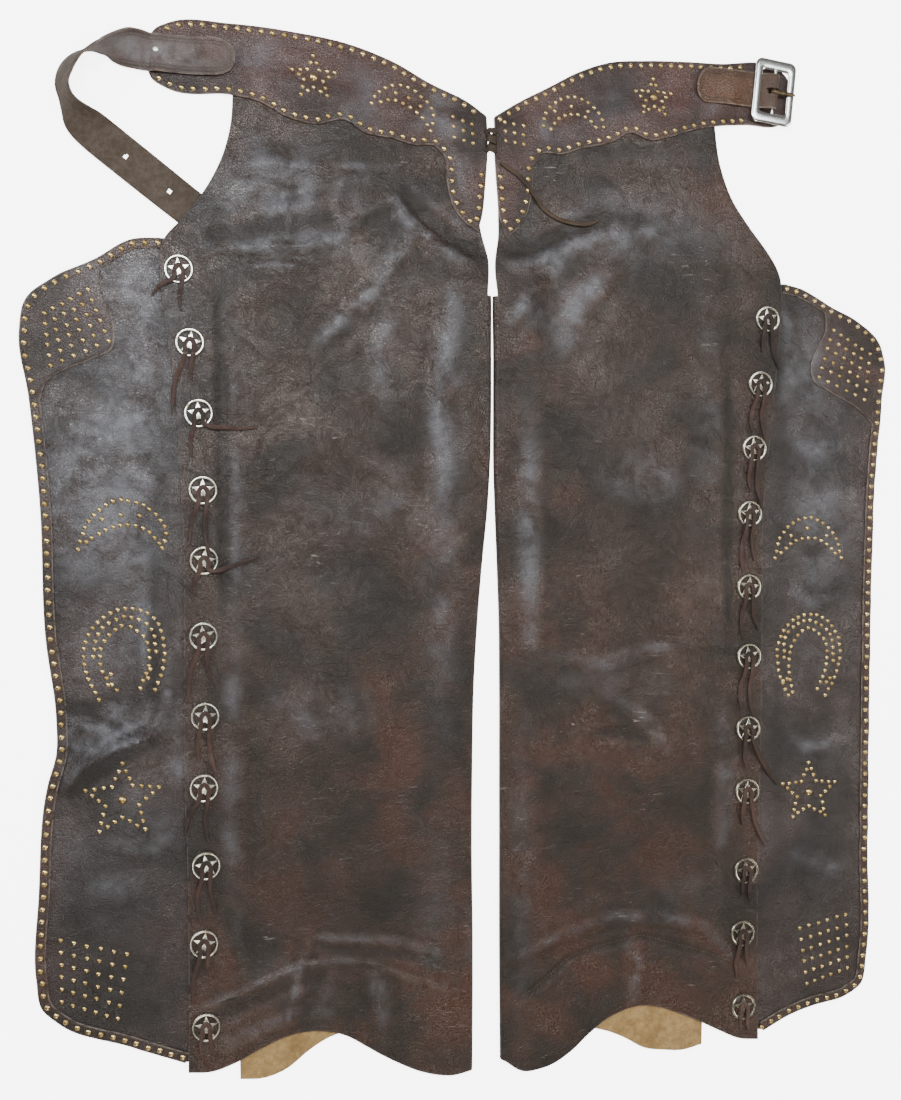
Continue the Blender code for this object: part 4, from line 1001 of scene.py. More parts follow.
@dataclass
class Wing:
    """One side wing, with the stitched border strip and stud patch that lie on it."""

    side: Side
    step: float = 3.0

    def rim(self, step: float = 1.5) -> np.ndarray:
        """The wing's free outline, from its upper inner corner round to its lower inner corner."""
        corners = WING_CORNERS[self.side]
        points = WING_EDGE[self.side][2:len(WING_EDGE[self.side]) - 1]
        return smooth_line(points, step=step) if corners else np.array(points)

    def top(self, out: np.ndarray, y: np.ndarray) -> np.ndarray:
        """Height of the wing's grain side, with its folds and fine creases."""
        seed = 31 if self.side is Side.LEFT else 43
        free = ease(300.0, 318.0, out)
        fine = 0.55 * soft_noise(out, y, 36.0, seed) + 0.2 * soft_noise(out, y, 13.0, seed + 1)
        rise = (relief(WING_CREASES[self.side], out, y) + fine) * free
        rise = np.where(rise > 0.0, rise * thong_room(self.side, out, y), rise)
        under = wing_under(self.side, out, y)
        return under + LEATHER + np.where(rise < 0.0, -1.1 * np.tanh(-rise / 1.1), rise)

    def build(self) -> bpy.types.Object:
        """Make the wing's leather on a grid between its four edges."""
        edge = np.array(WING_EDGE[self.side], dtype=float)
        corners = WING_CORNERS[self.side]
        rim = self.rim(1.0)
        split = [int(np.argmin(np.linalg.norm(rim - edge[corner], axis=1))) for corner in (corners[1], corners[2])]
        top_line = np.concatenate([edge[:2], rim[:split[0] + 1]])
        side_line = rim[split[0]:split[1] + 1][::-1]
        low_line = np.concatenate([edge[-1:], rim[split[1]:][::-1]])
        inner = edge[[-1, 0]]
        u, v = spread(165.0, self.step), spread(700.0, self.step)
        grid = coons(smooth_line(low_line, shares=u, bend=False), smooth_line(top_line, shares=u, bend=False),
                     smooth_line(inner, shares=v, bend=False), smooth_line(side_line, shares=v, bend=False), u, v)
        out, y = grid[..., 0], grid[..., 1]
        away = np.minimum((1.0 - u)[None, :] * 165.0, np.minimum(v, 1.0 - v)[:, None] * 700.0)
        top = self.top(out, y)
        low = np.maximum(top - LEATHER, 0.0) * ease(296.0, 322.0, out)
        grain = np.stack([self.side.value * out, y, top - eased_edge(away)], axis=-1)
        flesh = np.stack([self.side.value * out, y, low], axis=-1)
        return make_wall("wing_skin_" + self.side.word, grain, flesh, {"edge": worn_edge(away)})

    def border(self, inset: float, step: float = 2.0) -> np.ndarray:
        """A line at a distance inside the wing's free outline, where it is clear of the leg."""
        rim = smooth_line(self.rim(), step=step, bend=False)
        run = np.gradient(rim, axis=0)
        normal = np.stack([run[:, 1], -run[:, 0]], axis=1) / np.linalg.norm(run, axis=1)[:, None]
        line = rim + normal * inset
        return line[line[:, 0] > leg_edges(self.side, line[:, 1])[0] + 4.0]

    def build_trim(self) -> bpy.types.Object:
        """Make the border strip: ruled from the wing's outline to its stitched inner line or patch edge."""
        rim = smooth_line(self.rim(), step=2.6, bend=False)
        rim = rim[rim[:, 0] > leg_edges(self.side, rim[:, 1])[0] + 2.5]
        run = np.gradient(rim, axis=0)
        normal = np.stack([run[:, 1], -run[:, 0]], axis=1) / np.linalg.norm(run, axis=1)[:, None]
        line = rim + normal * BORDER
        patch = np.array(PATCH_EDGE[self.side], dtype=float)
        first = int(np.argmin(np.linalg.norm(line - patch[0], axis=1)))
        last = int(np.argmin(np.linalg.norm(line - patch[-1], axis=1)))
        line[first:last + 1] = smooth_line(patch, count=last + 1 - first)
        w = np.array([0.0, 0.04, 0.1, 0.18, 0.28, 0.4, 0.52, 0.64, 0.75, 0.84, 0.92, 0.97, 1.0])[None, :, None]
        grid = rim[:, None] + w * (line - rim)[:, None]
        grid[:, -1] += (line - rim) / np.linalg.norm(line - rim, axis=1)[:, None] * 0.0
        out, y = grid[..., 0], grid[..., 1]
        wide = np.linalg.norm(line - rim, axis=1)[:, None]
        away = np.minimum(w[..., 0], 1.0 - w[..., 0]) * wide
        low = self.top(out, y) + SEAT
        grain = np.stack([self.side.value * out, y, low + TRIM - eased_edge(away, 0.7)], axis=-1)
        flesh = np.stack([self.side.value * out, y, low], axis=-1)
        return make_wall("trim_skin_" + self.side.word, grain, flesh, {"edge": worn_edge(away)})


@dataclass
class Yoke:
    """One half of the belt: a curved band that ends in a pointed drop at the middle."""

    side: Side
    step: float = 2.6
    upper_knots: tuple[float, ...] = ()
    lower_knots: tuple[float, ...] = ()

    def __post_init__(self) -> None:
        """Pair the outline's places across the band, then across the drop."""
        if self.side is Side.LEFT:
            self.upper_knots = (9.03, 8, 7, 6, 5, 4, 3, 2, 1, 0, -1, -2, -3, -3.96)
            self.lower_knots = (9.06, 10, 11, 12, 14.5, 16, 18, 20, 21, 21.5, 22, 22.6, 24, 24.96)
        else:
            self.upper_knots = (9.03, 8, 7, 6, 5, 4, 3, 2, 1, 0, -1, -2, -3, -3.96)
            self.lower_knots = (9.06, 10, 11, 13, 16, 18, 19, 21, 22, 22.5, 23, 23.5, 25, 25.96)

    def outline_at(self, knots: np.ndarray) -> np.ndarray:
        """Places on the outline at counts of its points, where counts below 0 go round the other way."""
        edge = np.array(YOKE_EDGE[self.side], dtype=float)
        tip = 25 if self.side is Side.LEFT else 26
        outer = edge[:tip + 1]
        inner = np.concatenate([edge[:1], edge[:tip - 1:-1]])
        places = []
        for stretch, at in ((outer, np.maximum(knots, 0.0)), (inner, np.maximum(-knots, 0.0))):
            along = lengths_along(stretch)
            arc = np.interp(at, np.arange(len(stretch)), along)
            places.append(np.stack([read_curve(along, stretch[:, k], arc) for k in (0, 1)], axis=1))
        return np.where((knots >= 0.0)[:, None], places[0], places[1])

    def top(self, out: np.ndarray, y: np.ndarray) -> np.ndarray:
        """Height of the yoke's grain side."""
        seed = 57 if self.side is Side.LEFT else 61
        fine = 0.3 * soft_noise(out, y, 34.0, seed) + 0.12 * soft_noise(out, y, 13.0, seed + 1)
        rise = relief(YOKE_CREASES[self.side], out, y) + fine
        return yoke_under(self.side, out, y) + LEATHER + np.maximum(rise, -0.5) * (1.0 - ease(215, 235, out))

    def build(self) -> bpy.types.Object:
        """Make the yoke's leather between its upper and lower outlines."""
        count = len(self.upper_knots)
        at = np.linspace(0.0, count - 1.0, int(430.0 / self.step))
        at = np.unique(np.concatenate([at, [0.01, 0.05, 0.1, count - 1.1, count - 1.05]]))
        upper = self.outline_at(np.interp(at, np.arange(count), self.upper_knots))
        lower = self.outline_at(np.interp(at, np.arange(count), self.lower_knots))
        w = spread(80.0, self.step)
        grid = lower[:, None] + w[None, :, None] * (upper - lower)[:, None]
        x, y = grid[..., 0], grid[..., 1]
        wide = np.linalg.norm(upper - lower, axis=1)[:, None]
        away = np.minimum(w, 1.0 - w)[None] * wide
        top = self.top(np.abs(x), y)
        low = np.maximum(top - LEATHER, yoke_under(self.side, np.abs(x), y))
        grain = np.stack([x, y, top - eased_edge(away)], axis=-1)
        flesh = np.stack([x, y, low], axis=-1)
        return make_wall("yoke_skin_" + self.side.word, grain, flesh, {"edge": worn_edge(away)})


# ---- thongs and lace ----


def thong_route(side: Side, number: int) -> np.ndarray:
    """Plan of one thong as in the solids: up from its left end, over the concho's middle, down to the right."""
    out, y = CONCHO_AT[side][number]
    middle = np.array([side.value * out, y])
    left_x, left_y, right_x, right_y = THONG_ENDS[side][number]
    shoulder = np.array([THONG_TURN, 0.0])
    halves = []
    for shift, end in ((-shoulder, (left_x, left_y)), (shoulder, (right_x, right_y))):
        tip = np.array(end, dtype=float)
        drop = shift + (0.0, -CONCHO_RADIUS * 0.55)
        bow = drop + (tip - drop) * 0.5 + np.array([tip[1], -tip[0]]) * 0.05
        points = np.array([tip, bow, drop, shift])
        halves.append(smooth_line(points, count=7))
    top = np.array([[0.0, THONG_TURN]])
    return np.concatenate([halves[0], top, halves[1][::-1]]) + middle


@dataclass
class Thong:
    """A flat leather thong with soft edges that curls a little and narrows to its tips."""

    width: float = THONG_WIDTH
    thick: float = THONG - 0.2
    tip: float = 0.4
    curl: float = 0.22

    def build(self, name: str, route: np.ndarray, seed: int) -> tuple[bpy.types.Object, np.ndarray]:
        """Carry a thin crowned strip along its resting path.

        Args:
            name: The piece's name.
            route: The strip's plan route.
            seed: Chooses how it curls.

        Returns:
            The new object and its middle line.
        """
        path = rest_path(route, 4.6, THONG)
        line = smooth_line(path, count=64)
        share = np.linspace(0.0, 1.0, len(line))
        angle = self.curl * np.sin(share * 9.0 + seed) * np.sin(math.pi * share) ** 0.5
        ahead = np.gradient(line[:, :2], axis=0)
        ahead /= np.linalg.norm(ahead, axis=1)[:, None]
        lean = np.stack([-ahead[:, 1] * np.cos(angle), ahead[:, 0] * np.cos(angle), np.sin(angle)], axis=1)
        across, up = frame_along(line, lean)
        from_end = np.minimum(share, 1.0 - share) * lengths_along(line)[-1]
        width = self.tip + (0.92 - self.tip) * ease(0.0, 14.0, from_end) + 0.05 * np.sin(share * 31.0 + seed)
        profile = round_slab(self.width, self.thick, 0.45, 2, 0.15)
        piece = make_sweep(name, line, across, up, profile, width, {"along": share})
        return piece, line


@dataclass
class CentreLace:
    """The lace that joins the two yokes: crossed runs, a wound knot and one free end."""

    turns: int = 5
    strand: float = 4.0
    thick: float = 1.2

    def strip(self, name: str, line: np.ndarray, lean: np.ndarray) -> bpy.types.Object:
        """One strand of the lace along a line."""
        across, up = frame_along(line, lean)
        return make_sweep(name, line, across, up, round_slab(self.strand, self.thick, 0.4, 2, 0.1))

    def build_knot(self) -> bpy.types.Object:
        """Wind the knot: a flattened helix up the seam between the yokes, with two crossed runs below it."""
        low = LAY + LEATHER + SEAT
        t = np.linspace(0.0, 1.0, self.turns * 22)
        turn = t * self.turns * 2 * math.pi + 0.4
        reach = 3.4 + 0.8 * np.sin(t * math.pi)
        line = np.stack([KNOT_AT[0] + reach * np.cos(turn), KNOT_AT[1] - 11.5 + 23.0 * t + 1.2 * np.sin(turn * 0.5),
                         low + KNOT_SIZE[2] / 2 + 1.35 * np.sin(turn)], axis=1)
        coil = self.strip("lace_knot_wound", line, np.array([0.0, 1.0, 0.0]) + line * 0.0)
        parts = [coil]
        for sign in (-1.0, 1.0):
            x = np.linspace(-5.0, 5.0, 20)
            run = np.stack([x, KNOT_AT[1] + sign * x * 2.2, low + 0.8 + 0.5 * np.cos(x / 5.0 * math.pi / 2)], axis=1)
            parts.append(self.strip("lace_knot_run", run, np.array([-sign * 0.9, 0.4, 0.0]) + run * 0.0))
        return join_pieces("lace_knot_wound", parts)


def join_pieces(name: str, parts: list[bpy.types.Object]) -> bpy.types.Object:
    """Join meshes that stand at the origin into the first of them, and name it."""
    for part in parts:
        part.select_set(True)
    bpy.context.view_layer.objects.active = parts[0]
    with bpy.context.temp_override(active_object=parts[0], selected_editable_objects=parts, selected_objects=parts):
        bpy.ops.object.join()
    parts[0].name = name
    parts[0].select_set(False)
    return parts[0]


# ---- strap and buckle ----


@dataclass
class BilletStrap:
    """The long strap: riveted on the left yoke, turned over in a bend and tucked under the leg."""

    width: float = STRAP_WIDTH
    thick: float = STRAP
    hole: float = 2.1
    holes_at: tuple[tuple[float, float], ...] = ((-345.0, 369.0), (-306.0, 341.0))
    groove_in: float = 3.4

    def build(self) -> bpy.types.Object:
        """Lay the strap's two sides along its route: place = centre + across * a + up * half its thickness."""
        rows = np.array(STRAP_ROUTE, dtype=float)
        plan = lengths_along(rows[:, :2])
        at = np.linspace(0.0, plan[-1], int(plan[-1] / 1.3))
        at = np.unique(np.concatenate([at, [0.4, 0.9]]))
        x, y, tilt, share, rest = (read_curve(plan, rows[:, k], at) for k in range(5))
        share = np.interp(at, plan, rows[:, 3])
        tilt = np.radians(tilt)
        ahead = np.gradient(np.stack([x, y], axis=1), at, axis=0)
        ahead /= np.linalg.norm(ahead, axis=1)[:, None]
        lean = np.stack([-ahead[:, 1] * np.cos(tilt), ahead[:, 0] * np.cos(tilt), -np.sin(tilt)], axis=1)
        wide = self.width * share
        half = wide / 2 * np.abs(np.sin(tilt)) + self.thick / 2 * np.abs(np.cos(tilt))
        centres = np.stack([x, y, np.maximum(rest, 0.0) + half + 0.1 * np.abs(np.sin(2 * tilt))], axis=1)
        across, up = frame_along(centres, lean)
        u = spread(self.width, 1.4) - 0.5
        a = u[None, :] * wide[:, None]
        away = np.minimum((0.5 - np.abs(u))[None, :] * wide[:, None], at[:, None] * 1.0 + 0.0 * a)
        groove = np.exp(-(((away - self.groove_in) / 0.75) ** 2)) + 0.8 * np.exp(-(((away - self.groove_in - 2.6)
                                                                                     / 0.6) ** 2))
        groove = groove * (1.0 - ease(92.0, 118.0, at))[:, None]
        places = centres[:, None] + across[:, None] * a[..., None]
        lift = self.thick / 2
        cup = 0.25 * (1.0 - (2.0 * u[None, :]) ** 2)
        grain = places + up[:, None] * (lift + cup - 0.45 * groove - eased_edge(away, 0.5))[..., None]
        flesh = places - up[:, None] * (lift - 0.2 * cup - eased_edge(away, 0.35))[..., None]
        middle = (places[:-1, :-1] + places[1:, 1:]) / 2
        keep = np.ones(middle.shape[:2], dtype=bool)
        for hole_x, hole_y in self.holes_at:
            keep &= np.hypot(middle[..., 0] - hole_x, middle[..., 1] - hole_y) > self.hole
        marks = {"edge": worn_edge(away), "groove": groove, "along": np.broadcast_to((at / at[-1])[:, None], a.shape)}
        return make_wall("strap_skin", grain, flesh, marks, keep)


def turned_piece(name: str, profile: Points, sides: int, at: Sequence[float]) -> bpy.types.Object:
    """A round piece turned about an upright axis: radius and height profile carried round a circle."""
    profile = np.array(profile, dtype=float)
    angles = np.arange(sides) * 2 * math.pi / sides
    ring = np.stack([np.cos(angles), np.sin(angles)], axis=1)
    body = profile[1:-1]
    xy = body[:, None, :1] * ring[None]
    z = np.broadcast_to(body[:, None, 1:], xy.shape[:2] + (1,))
    points = np.concatenate([[[0.0, 0.0, profile[0, 1]]], np.concatenate([xy, z], axis=2).reshape(-1, 3),
                             [[0.0, 0.0, profile[-1, 1]]]]) + np.array(at)
    index = 1 + np.arange(len(body) * sides).reshape(len(body), sides)
    after = np.roll(index, -1, axis=1)
    walls = np.stack([index[:-1], after[:-1], after[1:], index[1:]], axis=-1).reshape(-1, 4)
    low = np.stack([np.zeros(sides, dtype=int), after[0], index[0]], axis=1)
    high = np.stack([index[-1], after[-1], np.full(sides, len(points) - 1)], axis=1)
    return make_mesh(name, points, [walls, low, high])


def build_rivet(name: str, x: float, y: float, low: float, radius: float) -> bpy.types.Object:
    """A domed rivet on its small washer."""
    profile = [(0.0, 0.0), (radius, 0.0), (radius, 0.25), (radius * 0.93, 0.42), (radius * 0.74, 0.5),
               (radius * 0.72, 0.7), (radius * 0.62, 1.05), (radius * 0.42, 1.38), (radius * 0.2, 1.54), (0.0, 1.6)]
    return turned_piece(name, profile, 24, (x, y, low))


def round_box(width: float, height: float, radius: float, steps: int) -> np.ndarray:
    """Rectangle with rounded corners, as a loop round the origin."""
    loop = []
    for corner, (sx, sy) in enumerate(((1, 1), (-1, 1), (-1, -1), (1, -1))):
        middle = np.array([sx * (width / 2 - radius), sy * (height / 2 - radius)])
        angle = math.pi / 2 * (corner + np.arange(steps + 1) / steps)
        loop.append(middle + radius * np.stack([np.cos(angle), np.sin(angle)], axis=1))
    return np.concatenate(loop)


def at_buckle(points: np.ndarray) -> np.ndarray:
    """Turn and move places from the buckle's own frame to the chaps' frame."""
    c, s = math.cos(BUCKLE_TURN), math.sin(BUCKLE_TURN)
    x, y = points[..., 0], points[..., 1]
    return np.stack([BUCKLE_AT[0] + c * x - s * y, BUCKLE_AT[1] + s * x + c * y, points[..., 2]], axis=-1)


@dataclass
class Buckle:
    """Centre-bar buckle frame, the chape that carries it and its prong."""

    size: tuple[float, float] = (45.0, 66.0)
    side: float = 8.0
    end: float = 11.0
    corner: float = 7.0
    window_corner: float = 3.0
    lift: float = 5.8
    thick: float = 2.6
    bar: float = 3.0
    ring_wall: float = 1.4
    prong_width: float = 4.0
    prong_length: float = 22.0
    prong_thick: float = 1.8
    chape_length: float = 84.0
    chape_width: float = 36.0
    chape_thick: float = 2.2
    chape_step: tuple[float, float] = (44.0, 27.0)
    chape_bend: float = 20.0
    chape_ramp: float = 14.5
    chape_tail: float = 7.5

    @property
    def bar_height(self) -> float:
        """Height of the bar's middle."""
        return self.lift + self.thick / 2

    @property
    def ring_inner(self) -> float:
        """Radius inside which the bar turns free."""
        return math.hypot(self.bar / 2, self.thick / 2) + SEAT

    def build_frame(self) -> bpy.types.Object:
        """Cast the frame: a domed profile ruled from the outer outline to the window, and the bar across it."""
        width, height = self.size
        outer = round_box(width, height, self.corner, 8)
        inner = round_box(width - 2 * self.side, height - 2 * self.end, self.window_corner, 8)
        profile = np.array([(0.0, 0.25), (0.0, 0.6), (0.05, 0.82), (0.14, 0.94), (0.32, 1.0), (0.6, 1.0),
                            (0.82, 0.95), (0.94, 0.8), (1.0, 0.55), (1.0, 0.25), (0.95, 0.05), (0.85, 0.0),
                            (0.12, 0.0), (0.04, 0.06)])
        plan = outer[:, None] + profile[None, :, :1] * (inner - outer)[:, None]
        z = np.broadcast_to(self.lift + self.thick * profile[None, :, 1:], plan.shape[:2] + (1,))
        points = at_buckle(np.concatenate([plan, z], axis=2))
        index = np.arange(points.shape[0] * points.shape[1]).reshape(points.shape[:2])
        ahead, beside = np.roll(index, -1, axis=0), np.roll(index, -1, axis=1)
        faces = [np.stack([index, beside, np.roll(beside, -1, axis=0), ahead], axis=-1).reshape(-1, 4)]
        ring = make_mesh("buckle_ring", points.reshape(-1, 3), faces)
        y = np.linspace(-height / 2 + self.end - 1.0, height / 2 - self.end + 1.0, 12)
        line = at_buckle(np.stack([y * 0.0, y, y * 0.0 + self.bar_height], axis=1))
        across, up = frame_along(line, np.array([1.0, 0.0, 0.0]) + line * 0.0)
        bar = make_sweep("buckle_bar", line, across, up, round_slab(self.bar, self.thick, 0.9, 3))
        return join_pieces("buckle_cast", [ring, bar])

    def route(self) -> np.ndarray:
        """Side view of the chape's middle line: off the leg's top, up a ramp, once round the bar."""
        radius = self.ring_inner + self.chape_thick / 2
        level = LAY + self.chape_thick / 2
        reach = math.hypot(self.chape_ramp, self.bar_height - level)
        slope = math.atan2(self.bar_height - level, self.chape_ramp) + math.asin(radius / reach)
        turns = np.linspace(math.pi / 2 + slope, -math.pi / 2, 10)
        round_bar = [(radius * math.cos(a), self.bar_height + radius * math.sin(a)) for a in turns]
        over = [(-self.chape_length, level + LAY), (-self.chape_step[0], level + LAY), (-self.chape_step[1], level)]
        return np.array([*over, (-self.chape_ramp, level), *round_bar, (-self.chape_tail, self.bar_height - radius)])

    def build_chape(self) -> bpy.types.Object:
        """Lay the chape's two sides along its route, with a rounded nose, a slot and two stitched lines."""
        line = self.route()
        run = np.diff(line, axis=0)
        size = np.linalg.norm(run, axis=1)
        along = np.concatenate([[0.0], np.cumsum(size)])
        normals = np.stack([-run[:, 1], run[:, 0]], axis=1) / size[:, None]
        joint = np.concatenate([normals[:1], normals[:-1] + normals[1:], normals[-1:]])
        joint /= np.sum(joint * np.concatenate([normals[:1], normals[1:], normals[-1:]]), axis=1)[:, None]
        half, slot = self.chape_width / 2, self.prong_width / 2 + 1.0
        b = np.unique(np.round(np.concatenate([spread(2.0, 1.4 / half, (0.7 / half, 1.6 / half)) * 2.0 - 1.0,
                                               [-slot / half, slot / half]]), 5))
        turn = np.arcsin(np.clip(b, -1, 1) * math.sin(1.3))
        start = half * 0.8 * (1 - np.cos(turn))
        t = np.unique(np.concatenate([np.linspace(0.0, 1.0, 96), [0.006, 0.016]]))
        s = start[None] + t[:, None] * (along[-1] - start)[None]
        away = np.minimum((1.0 - np.abs(b))[None] * half, (s - start[None]) * 0.9)
        place = [np.interp(s, along, line[:, k]) for k in (0, 1)]
        tilt = [np.interp(s, along, joint[:, k]) for k in (0, 1)]
        flat_part = 1.0 - ease(50.0, 62.0, s)
        groove = (np.exp(-(((away - 3.4) / 0.75) ** 2)) + 0.8 * np.exp(-(((away - 6.0) / 0.6) ** 2))) * flat_part
        sheets = []
        for push in (self.chape_thick / 2 - 0.4 * groove - eased_edge(away, 0.5),
                     -self.chape_thick / 2 + eased_edge(away, 0.3)):
            x, z = (place[k] + tilt[k] * push for k in (0, 1))
            level = np.maximum(-x - self.chape_bend, 0.0) * math.tan(BUCKLE_TURN)
            sheets.append(at_buckle(np.stack([x, b[None] * half + level, z], axis=-1)))
        middle_s, middle_b = (s[:-1, :-1] + s[1:, 1:]) / 2, (b[:-1] + b[1:]) / 2
        first = along[3] + (along[4] - along[3]) * 0.45
        keep = ~((np.abs(middle_b)[None] < slot / half) & (middle_s > first) & (middle_s < along[-1] - 2.2))
        marks = {"edge": worn_edge(away), "groove": groove, "along": s / along[-1]}
        return make_wall("chape_skin", sheets[0], sheets[1], marks, keep)

    def build_prong(self) -> bpy.types.Object:
        """Bend the prong: a tongue over the frame's far side that wraps once round the bar."""
        middle = self.ring_inner + self.ring_wall / 2
        level = self.thick / 2 + SEAT + self.prong_thick / 2
        turns = np.radians(np.linspace(82.0, 372.0, 34))
        ring = np.stack([middle * np.cos(turns), middle * np.sin(turns)], axis=1)
        x = np.linspace(self.prong_length + 0.6, 2.6, 26)
        tongue = np.stack([x, level + 0.35 * (1.0 - ease(2.6, 9.0, x))], axis=1)
        line = np.concatenate([tongue, ring])
        places = at_buckle(np.stack([line[:, 0], line[:, 0] * 0.0, line[:, 1] + self.bar_height], axis=1))
        across, up = frame_along(places, np.array([0.1, 1.0, 0.0]) + places * 0.0)
        from_tip = lengths_along(places)
        width = 0.55 + 0.42 * ease(0.0, 6.0, from_tip)
        profile = round_slab(self.prong_width, self.ring_wall, 0.55, 3, 0.08)
        return make_sweep("prong_bent", places, across, up, profile, width)


# ---- conchos ----


@dataclass
class Concho:
    """A round concho: a domed ring with a raised five-point star whose arms reach the ring."""

    radius: float = CONCHO_RADIUS
    rim: float = CONCHO_RIM + 0.5
    thick: float = CONCHO
    sides: int = 44

    def build(self, name: str, x: float, y: float, low: float, turn: float) -> bpy.types.Object:
        """Join the turned ring and the faceted star.

        Args:
            name: The piece's name.
            x: Place across.
            y: Place up.
            low: Height of its underside.
            turn: How far the star is turned, in radians.

        Returns:
            The new object.
        """
        r, w, h = self.radius, self.rim, self.thick
        profile = np.array([(r - 0.1, 0.0), (r, 0.35), (r - 0.15, 0.95), (r - w * 0.28, h * 0.93), (r - w * 0.55, h),
                            (r - w * 0.8, h * 0.86), (r - w * 0.97, h * 0.5), (r - w, 0.2), (r - w + 0.15, 0.0)])
        angles = np.arange(self.sides) * 2 * math.pi / self.sides
        ring = np.stack([profile[None, :, 0] * np.cos(angles)[:, None], profile[None, :, 0] * np.sin(angles)[:, None],
                         np.broadcast_to(profile[None, :, 1], (self.sides, len(profile)))], axis=-1)
        index = np.arange(self.sides * len(profile)).reshape(self.sides, len(profile))
        beside = np.roll(index, -1, axis=1)
        faces = [np.stack([index, beside, np.roll(beside, -1, axis=0), np.roll(index, -1, axis=0)],
                          axis=-1).reshape(-1, 4)]
        reach = r - w + 0.4
        spokes = np.arange(10)
        corner = math.pi / 2 + turn + spokes * math.pi / 5
        span = np.where(spokes % 2 == 0, reach, reach * 0.44)
        base = len(faces[0]) * 0 + self.sides * len(profile)
        star = []
        for z, shrink in ((0.15, 1.0), (h * 0.62, 1.0), (h * 0.75, 0.93)):
            star.append(np.stack([span * shrink * np.cos(corner), span * shrink * np.sin(corner), corner * 0 + z],
                                 axis=1))
        star.append(np.array([[0.0, 0.0, 0.15], [0.0, 0.0, h * 0.98]]))
        points = np.concatenate([ring.reshape(-1, 3), *star]) + np.array([x, y, low])
        rows = base + np.arange(30).reshape(3, 10)
        after = np.roll(rows, -1, axis=1)
        walls = np.stack([rows[:-1], after[:-1], after[1:], rows[1:]], axis=-1).reshape(-1, 4)
        under = np.stack([after[0], rows[0], np.full(10, base + 30)], axis=1)
        over = np.stack([rows[2], after[2], np.full(10, base + 31)], axis=1)
        return make_mesh(name, points, [faces[0], walls, under, over], sharp=30.0)


# ---- studs and stitches ----

STUD_TEMPLATE = ((1.0, -0.12), (1.0, 0.1), (0.86, 0.42), (0.5, 0.78))


def tiled(name: str, template: np.ndarray, faces: list[np.ndarray], places: np.ndarray, turns: np.ndarray,
          scale: np.ndarray, marks: np.ndarray) -> bpy.types.Object:
    """Repeat one small closed shape at many places in one mesh.

    Args:
        name: The piece's name.
        template: Points of the shape.
        faces: Its faces.
        places: Where each copy goes.
        turns: Turn of each copy about the upright, in radians.
        scale: Size of each copy.
        marks: A value for each copy, kept as "tint".

    Returns:
        The new object.
    """
    c, s = np.cos(turns)[:, None], np.sin(turns)[:, None]
    shape = template[None] * scale[:, None, None]
    x = shape[..., 0] * c - shape[..., 1] * s
    y = shape[..., 0] * s + shape[..., 1] * c
    points = np.stack([x, y, shape[..., 2]], axis=-1) + places[:, None]
    shift = (np.arange(len(places)) * len(template))[:, None, None]
    spread_faces = [(group[None] + shift).reshape(-1, group.shape[1]) for group in faces]
    tint = np.repeat(marks, len(template))
    return make_mesh(name, points.reshape(-1, 3), spread_faces, {"tint": tint}, recalc=False, sharp=60.0)


def dome_shape(sides: int = 8, height: float = 0.62) -> tuple[np.ndarray, list[np.ndarray]]:
    """A small domed stud of radius 1: its profile carried round a circle and closed above and below."""
    profile = np.array(STUD_TEMPLATE)
    angles = np.arange(sides) * 2 * math.pi / sides
    ring = np.stack([np.cos(angles), np.sin(angles)], axis=1)
    xy = profile[:, None, :1] * ring[None]
    z = np.broadcast_to(profile[:, None, 1:] * height, xy.shape[:2] + (1,))
    points = np.concatenate([np.concatenate([xy, z], axis=2).reshape(-1, 3), [[0, 0, height]]])
    index = np.arange(len(profile) * sides).reshape(len(profile), sides)
    after = np.roll(index, -1, axis=1)
    walls = np.stack([index[:-1], after[:-1], after[1:], index[1:]], axis=-1).reshape(-1, 4)
    cap = np.stack([index[-1], after[-1], np.full(sides, len(points) - 1)], axis=1)
    return points, [walls, cap, index[:1, ::-1]]


def stitch_shape(length: float = 2.3, width: float = 0.6) -> tuple[np.ndarray, list[np.ndarray]]:
    """One stitch along x: a short thread that rises in the middle and dips at both ends."""
    t = np.linspace(-1.0, 1.0, 5)
    angles = np.arange(5) * 2 * math.pi / 5 + 0.3
    size = width / 2 * np.sqrt(1.0 - 0.75 * t**2)
    y = size[:, None] * np.cos(angles)[None]
    z = size[:, None] * np.sin(angles)[None] + (0.28 - 0.42 * t**2)[:, None]
    points = np.stack([np.broadcast_to((t * length / 2)[:, None], y.shape), y, z], axis=-1).reshape(-1, 3)
    index = np.arange(25).reshape(5, 5)
    after = np.roll(index, -1, axis=1)
    walls = np.stack([index[:-1], after[:-1], after[1:], index[1:]], axis=-1).reshape(-1, 4)
    return points, [walls, index[:1, ::-1], index[-1:]]


def even_places(line: Points, pitch: float, bend: bool = True) -> tuple[np.ndarray, np.ndarray]:
    """Even places along a line and the line's direction there."""
    line = smooth_line(line, step=1.0, bend=bend)
    along = lengths_along(line)
    count = max(2, int(round(along[-1] / pitch)) + 1)
    at = np.linspace(0.0, along[-1], count)
    places = np.stack([np.interp(at, along, line[:, k]) for k in (0, 1)], axis=1)
    run = np.gradient(line, axis=0)
    turn = np.stack([np.interp(at, along, run[:, k]) for k in (0, 1)], axis=1)
    return places, np.arctan2(turn[:, 1], turn[:, 0])


def star_line(x: float, y: float, reach: float, turn: float = 0.0) -> list[tuple[float, float]]:
    """Corners of a five-point star, closed, from its top tip."""
    spokes = np.arange(11)
    angle = math.pi / 2 + turn + spokes * math.pi / 5
    span = np.where(spokes % 2 == 0, reach, reach * 0.46)
    return list(zip((x + span * np.cos(angle)).tolist(), (y + span * np.sin(angle)).tolist()))


